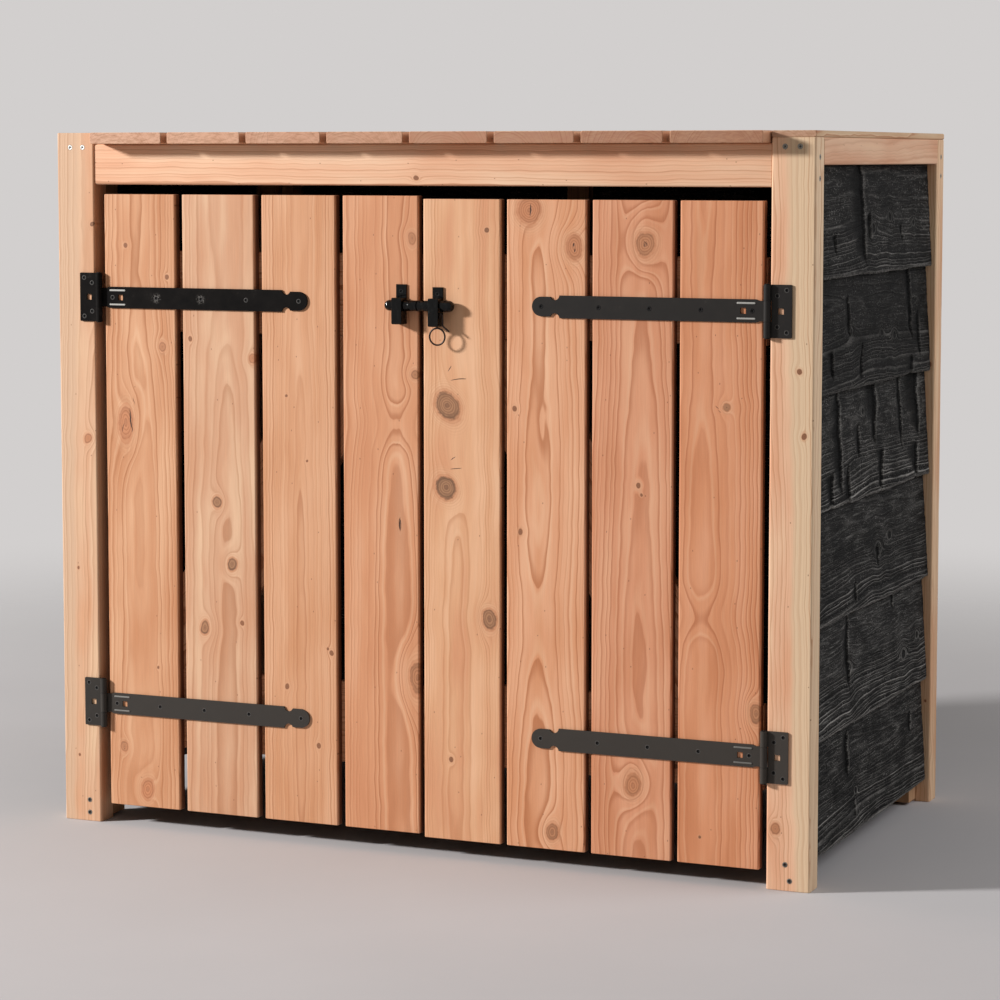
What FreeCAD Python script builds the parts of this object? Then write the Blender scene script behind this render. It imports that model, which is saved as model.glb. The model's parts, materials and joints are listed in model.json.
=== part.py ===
import FreeCAD, Part
import math
import os

# A timber store for two wheeled refuse bins: posts and rails, lapped side boards, a boarded roof, and two
# ledged and braced doors on T-hinges with a sliding latch. Millimetres. X runs along the front, Y from the
# front to the back, Z up. The origin is under the middle of the whole store, on the ground.

Vector = FreeCAD.Vector

# Overall sizes over the posts, and how far the roof boards stand out in front of them
width = 1420.0
depth = 800.0
height = 1250.0
roof_overhang = 37.0

# Timber sections
post_width = 76.0
post_depth = 45.0
post_radius = 4.0
rail_height = 72.0
rail_depth = 45.0
side_rail_width = 72.0
side_rail_height = 45.0
board_width = 144.0
board_thickness = 20.0
board_radius = 3.0
batten = 45.0
back_batten = 25.0
batten_lift = 5.0
lintel_recess = 3.0

# Roof
roof_board_count = 8
roof_gap = 12.0
roof_left_gap = 14.0
roof_right_gap = 2.0
strip_thickness = 11.0
strip_gap = 2.0

# Wedge-shaped lapped boards of the sides and the back
lap_count = 6
lap_bottom = 41.0
lap_exposure = 192.7
lap_height = 212.0
lap_face_inset = 7.0
lap_face_slope = 12.0 / lap_exposure
lap_thick_edge = 12.0
lap_thin_edge = 7.0
lap_end_gap = 1.0
lap_top_gap = 0.5

# Doors
boards_per_door = 4
left_hinge_gap = 20.0
right_hinge_gap = 12.0
left_board_gap = 14.0
right_board_gap = 11.0
door_height = 1105.0
left_door_bottom = 36.0
right_door_bottom = 31.0
ledge_thickness = 20.0
left_ledge_heights = (218.0, 969.0)
right_ledge_heights = (232.0, 971.0)
brace_foot_from_hinge = 115.0
brace_head_from_latch = 105.0
brace_slope = math.radians(57.0)
brace_gap = 0.5

# T-hinges
hinge_heights = (222.0, 957.0)
pin_from_door = 8.5
steel = 3.0
barrel_radius = 6.0
pin_radius = 2.5
pin_bore_radius = 2.55
pin_head_radius = 4.0
pin_head_height = 1.2
plate_reach = 41.0
plate_height = 87.0
plate_corner = 2.0
knuckle_height = 33.6
knuckle_play = 0.5
strap_length = 415.0
strap_height = 38.0
strap_body_end = 365.5
strap_neck_end = 14.0
strap_taper_end = 20.0
tip_radius = 16.5
tip_notch_radius = 8.5
tip_notch_from_middle = 19.5
strap_screws = (26.0, 115.0, 205.0, 295.0, strap_length - tip_radius)
square_hole = 10.0
strap_square_at = 42.0
plate_square_at = 22.5
plate_screws = ((32.5, 34.5), (16.5, 25.5))
rib_start = 22.0
rib_end = 51.0
rib_offset = 12.5
rib_radius = 2.2
rib_rise = 1.3

# Latch at the meeting edge of the doors
latch_height = 954.0
latch_axis_out = 10.75
bracket_width = 19.0
left_bracket_from_meeting = 21.5
right_bracket_from_meeting = 19.0
bracket_reach = 24.0
bracket_above_axis = 13.5
left_bracket_bottom = 922.0
right_bracket_bottom = 919.0
left_tab_top = 990.0
right_tab_top = 986.0
tab_screw_below_top = 12.0
sleeve_radius = 9.25
sleeve_past_meeting = 3.5
socket_dome_out = 8.5
socket_bore_radius = 7.0
socket_bore_depth = 27.5
bolt_radius = 5.0
bolt_bore_radius = 5.06
bolt_nose_inset = 0.5
bolt_nose_chamfer = 1.0
knob_radius = 9.8
knob_edge_radius = 1.0
knob_point_radius = 9.2
knob_length = 23.5
knob_gap = 0.5

# Ring clip: a wire ring with a leg through the foot of the right bracket
wire_radius = 1.5
clip_out = 17.0
ring_radius = 14.25
ring_gap = 0.75
clip_leg_inset = 4.0
clip_bore_radius = 1.6
clip_bend_radius = 5.0
clip_bend_height = 936.0
clip_tail_height = 921.0
clip_tail_out = 11.5
clip_tail_drop = 9.0

# Countersunk wood screws: head radius, head depth, shank radius, length
frame_screw = (4.5, 3.0, 2.5, 120.0)
foot_screw = (4.5, 3.0, 2.5, 80.0)
roof_screw = (4.5, 3.0, 2.5, 60.0)
strap_screw = (4.25, 2.6, 2.1, 30.0)
ledge_screw = (4.0, 2.5, 2.0, 34.0)
screw_point = 6.0
recess_width = 1.1
recess_length = 4.4
recess_depth = 1.3

# Screw places on the front posts: distance from the post's outer face, height
post_top_screws = ((27.5, 1224.0), (53.0, 1224.0))
left_foot_screws = ((52.0, 16.0), (52.0, 39.0))
right_foot_screws = ((35.0, 17.0), (43.0, 44.0))
lintel_screw_heights = (1172.0, 1207.0)
lintel_screw_back = 21.0

left = -width / 2
right = width / 2
front = -(depth + roof_overhang) / 2 + roof_overhang
back = front + depth
roof_under = height - board_thickness
rail_bottom = roof_under - rail_height
side_rail_top = height - strip_thickness
side_rail_bottom = side_rail_top - side_rail_height

OUT = Vector(0, -1, 0)
IN = Vector(0, 1, 0)
UP = Vector(0, 0, 1)
ALONG = Vector(1, 0, 0)


def block(x0, x1, y0, y1, z0, z1, radius=0.0):
    """A squared timber between two corners, with every arris rounded."""
    shape = Part.makeBox(x1 - x0, y1 - y0, z1 - z0, Vector(x0, y0, z0))
    if radius:
        shape = shape.makeFillet(radius, shape.Edges)
    return shape


def cylinder(radius, start, direction, length):
    return Part.makeCylinder(radius, length, start, direction)


def screw_body(size):
    """One countersunk screw on the Z axis, its head's top at the origin and its point down."""
    head_radius, head_depth, shank_radius, length = size
    outline = [
        Vector(0, 0, 0),
        Vector(head_radius, 0, 0),
        Vector(shank_radius, 0, -head_depth),
        Vector(shank_radius, 0, screw_point - length),
        Vector(0, 0, -length),
        Vector(0, 0, 0),
    ]
    face = Part.Face(Part.makePolygon(outline))
    return face.revolve(Vector(0, 0, 0), UP, 360)


def screw_with_recess(size):
    """The same screw with a cross cut in its head."""
    slot = Part.makeBox(recess_length, recess_width, recess_depth,
                        Vector(-recess_length / 2, -recess_width / 2, -recess_depth))
    turned = slot.copy()
    turned.rotate(Vector(0, 0, 0), UP, 90)
    return screw_body(size).cut(slot.fuse(turned))


def driven(shape, head, direction):
    """A copy of a screw with its head at a point, driven in a direction."""
    placed = shape.copy()
    placed.Placement = FreeCAD.Placement(head, FreeCAD.Rotation(-UP, direction))
    return placed


def drive(size, places):
    """The screws of one size at (head, direction) places, and the holes that they fill."""
    fastener = screw_with_recess(size)
    filled = screw_body(size)
    screws = [driven(fastener, head, direction) for head, direction in places]
    holes = [driven(filled, head, direction) for head, direction in places]
    return screws, holes


def as_list(shape):
    return shape if isinstance(shape, list) else [shape]


def drilled(shape, holes):
    """The shape with every hole that reaches into it."""
    near = [hole for hole in holes if hole.BoundBox.intersect(shape.BoundBox)]
    return shape.cut(near) if near else shape


def make_posts():
    foot_left = left + post_width
    foot_right = right - post_width
    front_back = front + post_depth
    back_front = back - post_depth
    return {
        "front_post_left": block(left, foot_left, front, front_back, 0, height, post_radius),
        "front_post_right": block(foot_right, right, front, front_back, 0, side_rail_top, post_radius),
        "back_post_left": block(left, foot_left, back_front, back, 0, side_rail_top, post_radius),
        "back_post_right": block(foot_right, right, back_front, back, 0, side_rail_top, post_radius),
    }


def make_rails():
    inner_left = left + post_width
    inner_right = right - post_width
    lintel_front = front + lintel_recess
    side_front = front + post_depth
    side_back = back - post_depth
    return {
        "lintel": block(inner_left, inner_right, lintel_front, lintel_front + rail_depth,
                        rail_bottom, roof_under, post_radius),
        "back_top_rail": block(inner_left, inner_right, back - rail_depth, back,
                               rail_bottom, roof_under, board_radius),
        "left_top_rail": block(left, left + side_rail_width, side_front, side_back,
                               side_rail_bottom, side_rail_top, board_radius),
        "right_top_rail": block(right - side_rail_width, right, side_front, side_back,
                                side_rail_bottom, side_rail_top, board_radius),
    }


def lap_inner_inset():
    """How far in from the posts' outer faces the boards' backs lie, and so the battens' faces."""
    return lap_face_inset + lap_face_slope * lap_height + lap_thin_edge


def make_battens():
    """Upright battens that the lapped boards are nailed to."""
    inset = lap_inner_inset()
    side_front = front + post_depth
    side_back = back - post_depth - batten
    left_side = left + inset
    right_side = right - inset - batten
    back_face = back - inset
    rows = (left + post_width, -batten / 2, right - post_width - back_batten)
    back_battens = [
        block(rows[0], rows[0] + back_batten, back_face - batten, back_face, batten_lift, rail_bottom),
        block(rows[1], rows[1] + batten, back_face - back_batten, back_face, batten_lift, rail_bottom),
        block(rows[2], rows[2] + back_batten, back_face - batten, back_face, batten_lift, rail_bottom),
    ]
    nodes = {"back_battens": back_battens}
    for name, x in (("left_battens", left_side), ("right_battens", right_side)):
        nodes[name] = [
            block(x, x + batten, y, y + batten, batten_lift, side_rail_bottom)
            for y in (side_front, side_back)
        ]
    return nodes


def lap_section(index, top_limit):
    """Corners of one lapped board as (inset from the outer face, height)."""
    bottom = lap_bottom + index * lap_exposure
    top = min(bottom + lap_height, top_limit - lap_top_gap)
    rise = top - bottom
    back_slope = (lap_inner_inset() - lap_face_inset - lap_thick_edge) / lap_height
    return [
        (lap_face_inset, bottom),
        (lap_face_inset + lap_thick_edge, bottom),
        (lap_face_inset + lap_thick_edge + back_slope * rise, top),
        (lap_face_inset + lap_face_slope * rise, top),
    ]


def lap_board(index, top_limit, corner, inward, along, length):
    """One lapped board: its section stands at a corner point and is drawn out along the wall."""
    points = [corner + inward * inset + UP * z for inset, z in lap_section(index, top_limit)]
    return Part.Face(Part.makePolygon(points + points[:1])).extrude(along * length)


def make_cladding():
    side_start = front + post_depth + lap_end_gap
    side_length = depth - 2 * post_depth - 2 * lap_end_gap
    back_start = left + post_width + lap_end_gap
    back_length = width - 2 * post_width - 2 * lap_end_gap
    nodes = {"left_cladding": [], "back_cladding": []}
    for i in range(lap_count):
        nodes[f"right_cladding_board_{i + 1}"] = lap_board(
            i, side_rail_bottom, Vector(right, side_start, 0), -ALONG, IN, side_length)
        nodes["left_cladding"].append(lap_board(
            i, side_rail_bottom, Vector(left, side_start, 0), ALONG, IN, side_length))
        nodes["back_cladding"].append(lap_board(
            i, rail_bottom, Vector(back_start, back, 0), OUT, ALONG, back_length))
    return nodes


def roof_board_edges():
    """Left and right edge of each roof board; the last one is wider and closes the roof."""
    edges = []
    for i in range(roof_board_count):
        start = left + post_width + roof_left_gap + i * (board_width + roof_gap)
        edges.append((start, start + board_width))
    edges[-1] = (edges[-1][0], right - post_width - roof_right_gap)
    return edges


def make_roof():
    nodes = {}
    for i, (start, end) in enumerate(roof_board_edges()):
        nodes[f"roof_board_{i + 1}"] = block(
            start, end, front - roof_overhang, back, roof_under, height, board_radius)
    first_edge = roof_board_edges()[0][0]
    nodes["left_cover_strip"] = block(
        left, first_edge - strip_gap, front + post_depth, back, side_rail_top, height, board_radius)
    nodes["right_cover_strip"] = block(
        right - post_width, right, front, back, side_rail_top, height, board_radius)
    return nodes


def frame_screw_places():
    """Screws through the posts into the ends of the rails."""
    places = []
    for face, inward in ((left, 1), (right, -1)):
        for inset, z in post_top_screws:
            places.append((Vector(face + inward * inset, front, z), IN))
            places.append((Vector(face + inward * inset, back, z), OUT))
        for z in lintel_screw_heights:
            places.append((Vector(face, front + lintel_screw_back, z), ALONG * inward))
            places.append((Vector(face, back - lintel_screw_back, z), ALONG * inward))
    return places


def foot_screw_places():
    """Screws through the feet of the posts into the side battens behind them."""
    places = []
    for face, inward, screws in ((left, 1, left_foot_screws), (right, -1, right_foot_screws)):
        for inset, z in screws:
            places.append((Vector(face + inward * inset, front, z), IN))
            places.append((Vector(face + inward * inset, back, z), OUT))
    return places


def roof_screw_places():
    """Two screws at each end of each roof board, into the lintel and the back rail."""
    places = []
    rows = (front + lintel_recess + rail_depth / 2, back - rail_depth / 2)
    for start, end in roof_board_edges():
        quarter = (end - start) / 4
        for x in (start + quarter, end - quarter):
            places += [(Vector(x, y, height), -UP) for y in rows]
    return places


class Door:
    """Places of one door. toward is +1 where the door runs from its hinges towards +X."""

    def __init__(self, name, toward, edge, gap, bottom, ledges):
        self.name = name
        self.toward = toward
        self.edge = edge
        self.gap = gap
        self.bottom = bottom
        self.ledges = ledges
        self.span = boards_per_door * board_width + (boards_per_door - 1) * gap
        self.pin_x = edge - toward * pin_from_door
        self.meeting = edge + toward * self.span

    def along(self, distance):
        """X at a distance from the hinge edge of the door."""
        return self.edge + self.toward * distance

    def bar(self, start, end, y0, y1, z0, z1, radius=0.0):
        x0, x1 = sorted((self.along(start), self.along(end)))
        return block(x0, x1, y0, y1, z0, z1, radius)


left_door = Door("left_door", 1, left + post_width + left_hinge_gap, left_board_gap,
                 left_door_bottom, left_ledge_heights)
right_door = Door("right_door", -1, right - post_width - right_hinge_gap, right_board_gap,
                  right_door_bottom, right_ledge_heights)


def door_boards(door):
    boards = []
    for i in range(boards_per_door):
        start = i * (board_width + door.gap)
        boards.append(door.bar(start, start + board_width, front, front + board_thickness,
                               door.bottom, door.bottom + door_height, board_radius))
    return boards


def door_ledges(door):
    """Lower and upper ledge across the backs of the boards."""
    y0 = front + board_thickness
    return [
        door.bar(0, door.span, y0, y0 + ledge_thickness,
                 z - board_width / 2, z + board_width / 2, board_radius)
        for z in door.ledges
    ]


def door_brace(door):
    """The brace: its foot stands on the lower ledge near the hinges, its head is under the upper ledge."""
    low = door.ledges[0] + board_width / 2 + brace_gap
    high = door.ledges[1] - board_width / 2 - brace_gap
    half = board_width / math.sin(brace_slope) / 2
    foot = brace_foot_from_hinge
    head = door.span - brace_head_from_latch
    y = front + board_thickness
    corners = ((foot - half, low), (foot + half, low), (head + half, high), (head - half, high))
    points = [Vector(door.along(distance), y, z) for distance, z in corners]
    return Part.Face(Part.makePolygon(points + points[:1])).extrude(IN * ledge_thickness)


def ledge_screw_places(door):
    """Two screws through each ledge into each board, and two through the brace where it crosses one."""
    y = front + board_thickness + ledge_thickness
    places = []
    for i in range(boards_per_door):
        middle = i * (board_width + door.gap) + board_width / 2
        for z in door.ledges:
            for shift in (-0.3 * board_width, 0.3 * board_width):
                places.append((Vector(door.along(middle + shift), y, z + shift), OUT))
    low, high = door.ledges
    for i in (1, 2):
        middle = i * (board_width + door.gap) + board_width / 2
        part = (middle - brace_foot_from_hinge) / (door.span - brace_head_from_latch - brace_foot_from_hinge)
        z = low + board_width / 2 + part * (high - low - board_width)
        for shift in (-board_width / 2, board_width / 2):
            places.append((Vector(door.along(middle), y, z + shift), OUT))
    return places


def strap_screw_places(door):
    return [
        (Vector(door.pin_x + door.toward * distance, front - steel, z), IN)
        for z in hinge_heights for distance in strap_screws
    ]


def plate_screw_places(door):
    return [
        (Vector(door.pin_x - door.toward * distance, front - steel, z + sign * rise), IN)
        for z in hinge_heights for distance, rise in plate_screws for sign in (-1, 1)
    ]


def hinge_part(door, shape, z):
    """A hinge part drawn with its pin on the Z axis and the door towards +X, put in its place."""
    placed = shape if door.toward > 0 else shape.mirror(Vector(0, 0, 0), ALONG)
    placed = placed.copy()
    placed.translate(Vector(door.pin_x, front - barrel_radius, z))
    return placed


def strap_shape():
    """The strap: rolled knuckle, neck, long body with two pressed ribs, and a notched, rounded tip."""
    y0 = barrel_radius - steel
    half = strap_height / 2
    neck = knuckle_height / 2
    outline = [
        (0, -neck), (strap_neck_end, -neck), (strap_taper_end, -half), (strap_body_end, -half),
        (strap_body_end, half), (strap_taper_end, half), (strap_neck_end, neck), (0, neck),
    ]
    points = [Vector(x, y0, z) for x, z in outline]
    body = Part.Face(Part.makePolygon(points + points[:1])).extrude(IN * steel)
    tip_x = strap_length - tip_radius
    tip = cylinder(tip_radius, Vector(tip_x, y0, 0), IN, steel)
    tip_body = Part.makeBox(tip_x - strap_body_end, steel, 2 * tip_radius,
                            Vector(strap_body_end, y0, -tip_radius))
    notch_x = strap_body_end + tip_notch_radius
    notches = [cylinder(tip_notch_radius, Vector(notch_x, y0, z), IN, steel)
               for z in (-tip_notch_from_middle, tip_notch_from_middle)]
    knuckle = cylinder(barrel_radius, Vector(0, 0, -neck), UP, knuckle_height)
    shape = body.fuse([tip, tip_body, knuckle]).cut(notches)
    for z in (-rib_offset, rib_offset):
        rib_y = y0 + rib_radius - rib_rise
        rib = cylinder(rib_radius, Vector(rib_start, rib_y, z), ALONG, rib_end - rib_start)
        ends = [Part.makeSphere(rib_radius, Vector(x, rib_y, z)) for x in (rib_start, rib_end)]
        rib = rib.fuse(ends)
        keep = Part.makeBox(rib_end, barrel_radius, strap_height, Vector(strap_neck_end, y0 - steel, -half))
        shape = shape.fuse(rib.common(keep))
    opening = Part.makeBox(square_hole, steel, square_hole,
                           Vector(strap_square_at - square_hole / 2, y0, -square_hole / 2))
    bore = cylinder(pin_bore_radius, Vector(0, 0, -neck), UP, knuckle_height)
    return shape.cut([opening, bore]).removeSplitter()


def plate_shape():
    """The post plate: a flat leaf with a rolled knuckle above and below the strap's."""
    y0 = barrel_radius - steel
    half = plate_height / 2
    gap = knuckle_height / 2 + knuckle_play
    leaf = Part.makeBox(plate_reach, steel, plate_height, Vector(-plate_reach, y0, -half))
    corners = [e for e in leaf.Edges if abs(e.tangentAt(e.FirstParameter).y) > 0.9 and e.BoundBox.XMax < 0]
    leaf = leaf.makeFillet(plate_corner, [e for e in corners if e.BoundBox.XMin < -plate_reach / 2])
    knuckle_length = half - gap
    knuckles = [cylinder(barrel_radius, Vector(0, 0, z), UP, knuckle_length) for z in (gap, -half)]
    window = Part.makeBox(barrel_radius + 1 + barrel_radius, 4 * steel, 2 * gap,
                          Vector(-barrel_radius - 1, -2 * steel, -gap))
    opening = Part.makeBox(square_hole, steel, square_hole,
                           Vector(-plate_square_at - square_hole / 2, y0, -square_hole / 2))
    bore = cylinder(pin_bore_radius, Vector(0, 0, -half), UP, plate_height)
    return leaf.cut(window).fuse(knuckles).cut([opening, bore]).removeSplitter()


def pin_shape():
    half = plate_height / 2
    pin = cylinder(pin_radius, Vector(0, 0, -half), UP, plate_height)
    heads = [cylinder(pin_head_radius, Vector(0, 0, z), UP, pin_head_height)
             for z in (-half - pin_head_height, half)]
    return pin.fuse(heads).removeSplitter()


def bracket_shape(x0, tab_top, bottom, holes):
    """A latch bracket of bent strip: a tab with one screw, and a square loop standing off the door."""
    top = latch_height + bracket_above_axis
    x1 = x0 + bracket_width
    tab = block(x0, x1, front - steel, front, top - steel, tab_top)
    loop = block(x0, x1, front - bracket_reach, front, bottom, top)
    bends = [e for e in loop.Edges if abs(e.tangentAt(e.FirstParameter).x) > 0.9
             and e.BoundBox.YMax < front - bracket_reach / 2]
    loop = loop.makeFillet(steel, bends)
    hollow = block(x0, x1, front - bracket_reach + steel, front, bottom + steel, top - steel)
    loop = loop.cut(hollow)
    corners = [e for e in loop.Edges if abs(e.tangentAt(e.FirstParameter).y) > 0.9
               and e.BoundBox.ZMax < bottom + 0.1 and e.BoundBox.YMax > front - 1]
    if corners:
        loop = loop.makeFillet(steel / 2, corners)
    return drilled(tab.fuse(loop), holes)


def latch_point(x, z=latch_height):
    return Vector(x, front - latch_axis_out, z)


def keeper_shape(holes):
    """Left bracket with the socket tube that takes the bolt; the tube's outer end is domed."""
    x1 = left_door.meeting - left_bracket_from_meeting
    x0 = x1 - bracket_width
    bracket = bracket_shape(x0, left_tab_top, left_bracket_bottom, holes)
    web = block(x0, x0 + steel, front - bracket_reach + steel, front - steel,
                left_bracket_bottom + steel, latch_height + bracket_above_axis - steel)
    start = x0 - socket_dome_out
    end = left_door.meeting + sleeve_past_meeting
    tube = cylinder(sleeve_radius, latch_point(start), ALONG, end - start)
    dome = Part.makeSphere(sleeve_radius, latch_point(start))
    bore = cylinder(socket_bore_radius, latch_point(end - socket_bore_depth), ALONG, socket_bore_depth)
    return bracket.fuse([web, tube, dome]).cut(bore).removeSplitter()


def housing_shape(holes):
    """Right bracket with the sleeve that carries the bolt, open at its right for the knob."""
    x0 = right_door.meeting + right_bracket_from_meeting
    bracket = bracket_shape(x0, right_tab_top, right_bracket_bottom, holes)
    web = block(x0, x0 + steel, front - bracket_reach + steel, front - steel,
                right_bracket_bottom + steel, latch_height + bracket_above_axis - steel)
    start = right_door.meeting - sleeve_past_meeting
    sleeve = cylinder(sleeve_radius, latch_point(start), ALONG, x0 + steel - start)
    bore = cylinder(bolt_bore_radius, latch_point(start), ALONG, x0 + steel - start)
    eye = cylinder(clip_bore_radius, Vector(clip_leg_x(), front - clip_out, right_bracket_bottom), UP, steel)
    return bracket.fuse([web, sleeve]).cut([bore, eye]).removeSplitter()


def edges_at(shape, x):
    """The edges of a round bar that lie in its end face at x."""
    boxes = [(edge, edge.BoundBox) for edge in shape.Edges]
    return [edge for edge, box in boxes if abs(box.XMin - x) < 0.01 and box.XLength < 0.01]


def knob_start():
    return right_door.meeting + right_bracket_from_meeting + bracket_width + knob_gap


def bolt_shape():
    """The sliding bolt: a plain nose and a bullet-shaped knob."""
    nose_start = right_door.meeting - sleeve_past_meeting + bolt_nose_inset
    knob = knob_start()
    nose = cylinder(bolt_radius, latch_point(nose_start), ALONG, knob - nose_start)
    nose = nose.makeChamfer(bolt_nose_chamfer, edges_at(nose, nose_start))
    grip = cylinder(knob_radius, latch_point(knob), ALONG, knob_length)
    grip = grip.makeFillet(knob_edge_radius, edges_at(grip, knob))
    grip = grip.makeFillet(knob_point_radius, edges_at(grip, knob + knob_length))
    return nose.fuse(grip).removeSplitter()


def clip_leg_x():
    return right_door.meeting + right_bracket_from_meeting + bracket_width - clip_leg_inset


def clip_shape():
    """A wire ring whose leg goes up through the bracket's foot, bends over and comes down as a tail."""
    y = front - clip_out
    x = clip_leg_x()
    ring_middle = right_bracket_bottom - ring_gap - wire_radius - ring_radius
    ring = Part.makeTorus(ring_radius, wire_radius, Vector(x, y, ring_middle), IN)
    leg_start = ring_middle + ring_radius
    leg = cylinder(wire_radius, Vector(x, y, leg_start), UP, clip_bend_height - leg_start)
    bend = Part.makeTorus(clip_bend_radius, wire_radius, Vector(0, 0, 0), UP, -180, 180, 180)
    bend.rotate(Vector(0, 0, 0), ALONG, 90)
    bend.translate(Vector(x + clip_bend_radius, y, clip_bend_height))
    tail_x = x + 2 * clip_bend_radius
    down = cylinder(wire_radius, Vector(tail_x, y, clip_tail_height), UP, clip_bend_height - clip_tail_height)
    elbow = Part.makeSphere(wire_radius, Vector(tail_x, y, clip_tail_height))
    flare = Vector(clip_tail_out, 0, -clip_tail_drop)
    tail = cylinder(wire_radius, Vector(tail_x, y, clip_tail_height), flare, flare.Length)
    tip = Part.makeSphere(wire_radius, Vector(tail_x, y, clip_tail_height) + flare)
    return ring.fuse([leg, bend, down, elbow, tail, tip]).removeSplitter()


def make_door(door, strap, bracket_x, tab_top):
    """Every node of one door but its latch parts, and the screws' holes."""
    tab_screw = (Vector(bracket_x + bracket_width / 2, front - steel, tab_top - tab_screw_below_top), IN)
    face_screws, face_holes = drive(strap_screw, strap_screw_places(door) + [tab_screw])
    rear_screws, rear_holes = drive(ledge_screw, ledge_screw_places(door))
    holes = face_holes + rear_holes
    nodes = {f"{door.name}_screws": face_screws + rear_screws}
    for i, board in enumerate(door_boards(door)):
        nodes[f"{door.name}_board_{i + 1}"] = drilled(board, holes)
    lower, upper = door_ledges(door)
    nodes[f"{door.name}_lower_ledge"] = drilled(lower, holes)
    nodes[f"{door.name}_upper_ledge"] = drilled(upper, holes)
    nodes[f"{door.name}_brace"] = drilled(door_brace(door), holes)
    for part, z in zip(("lower", "upper"), hinge_heights):
        nodes[f"{door.name}_{part}_strap"] = drilled(hinge_part(door, strap, z), face_holes)
    return nodes, face_holes


def make_hinge_plates(doors):
    """The four post plates, their pins and their screws."""
    nodes = {"hinge_pins": []}
    plate = plate_shape()
    pin = pin_shape()
    places = [place for door in doors for place in plate_screw_places(door)]
    nodes["hinge_plate_screws"], holes = drive(strap_screw, places)
    for door in doors:
        for part, z in zip(("lower", "upper"), hinge_heights):
            name = f"{door.name}_{part}_hinge_plate"
            nodes[name] = drilled(hinge_part(door, plate, z), holes)
            nodes["hinge_pins"].append(hinge_part(door, pin, z))
    return nodes, holes


def make_carcass(hinge_holes):
    frame_screws, frame_holes = drive(frame_screw, frame_screw_places())
    foot_screws, foot_holes = drive(foot_screw, foot_screw_places())
    roof_screws, roof_holes = drive(roof_screw, roof_screw_places())
    holes = frame_holes + foot_holes + roof_holes + hinge_holes
    nodes = {}
    for group in (make_posts(), make_rails(), make_battens(), make_roof()):
        for name, shape in group.items():
            nodes[name] = [drilled(solid, holes) for solid in as_list(shape)]
    nodes.update(make_cladding())
    nodes["carcass_screws"] = frame_screws + foot_screws + roof_screws
    return nodes


def make_store():
    strap = strap_shape()
    left_bracket_x = left_door.meeting - left_bracket_from_meeting - bracket_width
    right_bracket_x = right_door.meeting + right_bracket_from_meeting
    left_nodes, left_holes = make_door(left_door, strap, left_bracket_x, left_tab_top)
    right_nodes, right_holes = make_door(right_door, strap, right_bracket_x, right_tab_top)
    hinge_nodes, hinge_holes = make_hinge_plates((left_door, right_door))
    nodes = make_carcass(hinge_holes)
    nodes.update(hinge_nodes)
    nodes.update(left_nodes)
    nodes.update(right_nodes)
    nodes["latch_keeper"] = keeper_shape(left_holes)
    nodes["latch_housing"] = housing_shape(right_holes)
    nodes["latch_bolt"] = bolt_shape()
    nodes["ring_clip"] = clip_shape()
    return nodes


def write_parts(nodes):
    os.makedirs("parts", exist_ok=True)
    for name, shape in nodes.items():
        solids = as_list(shape)
        whole = solids[0] if len(solids) == 1 else Part.makeCompound(solids)
        assert whole.isValid(), name
        whole.exportStep(f"parts/{name}.step")
    box = Part.makeCompound([solid for shape in nodes.values() for solid in as_list(shape)]).BoundBox
    print(len(nodes), "nodes")
    print(f"X {box.XMin:.1f} to {box.XMax:.1f}, Y {box.YMin:.1f} to {box.YMax:.1f}, Z to {box.ZMax:.1f}")


write_parts(make_store())
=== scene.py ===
"""A timber store for two wheeled bins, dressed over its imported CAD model: planed softwood posts, doors and
roof, black-stained rough-sawn lapped sides, and black T-hinges and latch. Metres, Z up, doors towards -Y."""

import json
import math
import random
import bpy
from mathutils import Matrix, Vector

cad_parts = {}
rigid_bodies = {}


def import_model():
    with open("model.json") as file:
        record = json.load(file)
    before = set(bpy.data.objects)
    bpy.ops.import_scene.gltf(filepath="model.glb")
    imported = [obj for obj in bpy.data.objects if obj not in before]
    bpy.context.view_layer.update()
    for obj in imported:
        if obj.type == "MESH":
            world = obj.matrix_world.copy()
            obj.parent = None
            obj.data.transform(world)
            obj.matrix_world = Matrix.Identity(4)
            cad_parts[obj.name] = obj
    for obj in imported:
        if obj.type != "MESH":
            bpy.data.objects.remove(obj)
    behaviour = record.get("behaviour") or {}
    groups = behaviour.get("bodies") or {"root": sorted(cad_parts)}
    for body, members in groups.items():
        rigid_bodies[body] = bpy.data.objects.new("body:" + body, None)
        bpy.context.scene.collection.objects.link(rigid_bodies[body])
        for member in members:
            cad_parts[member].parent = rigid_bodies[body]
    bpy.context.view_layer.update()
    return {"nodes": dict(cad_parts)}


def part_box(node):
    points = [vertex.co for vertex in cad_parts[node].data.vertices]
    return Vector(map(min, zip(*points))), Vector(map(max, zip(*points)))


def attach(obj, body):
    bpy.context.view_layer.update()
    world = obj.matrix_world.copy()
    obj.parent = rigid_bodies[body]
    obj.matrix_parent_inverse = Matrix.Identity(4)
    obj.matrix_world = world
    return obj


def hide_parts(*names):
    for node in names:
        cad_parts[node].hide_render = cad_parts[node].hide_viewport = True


bl_info = {
    "name": "Wheelie Bin Store",
    "version": (1, 0, 0),
    "blender": (4, 5, 0),
    "location": "View3D > Sidebar > Bin Store",
    "description": "Builds a timber store for two wheeled bins over its CAD frame",
    "category": "Object",
}

import bmesh
import bpy
from mathutils import Matrix, Vector, noise

for startup_object in list(bpy.data.objects):
    bpy.data.objects.remove(startup_object)
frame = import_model()
NODES = frame["nodes"]

MM = 0.001
RIGHT = Vector((1, 0, 0))
BACK = Vector((0, 1, 0))
UP = Vector((0, 0, 1))

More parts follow.
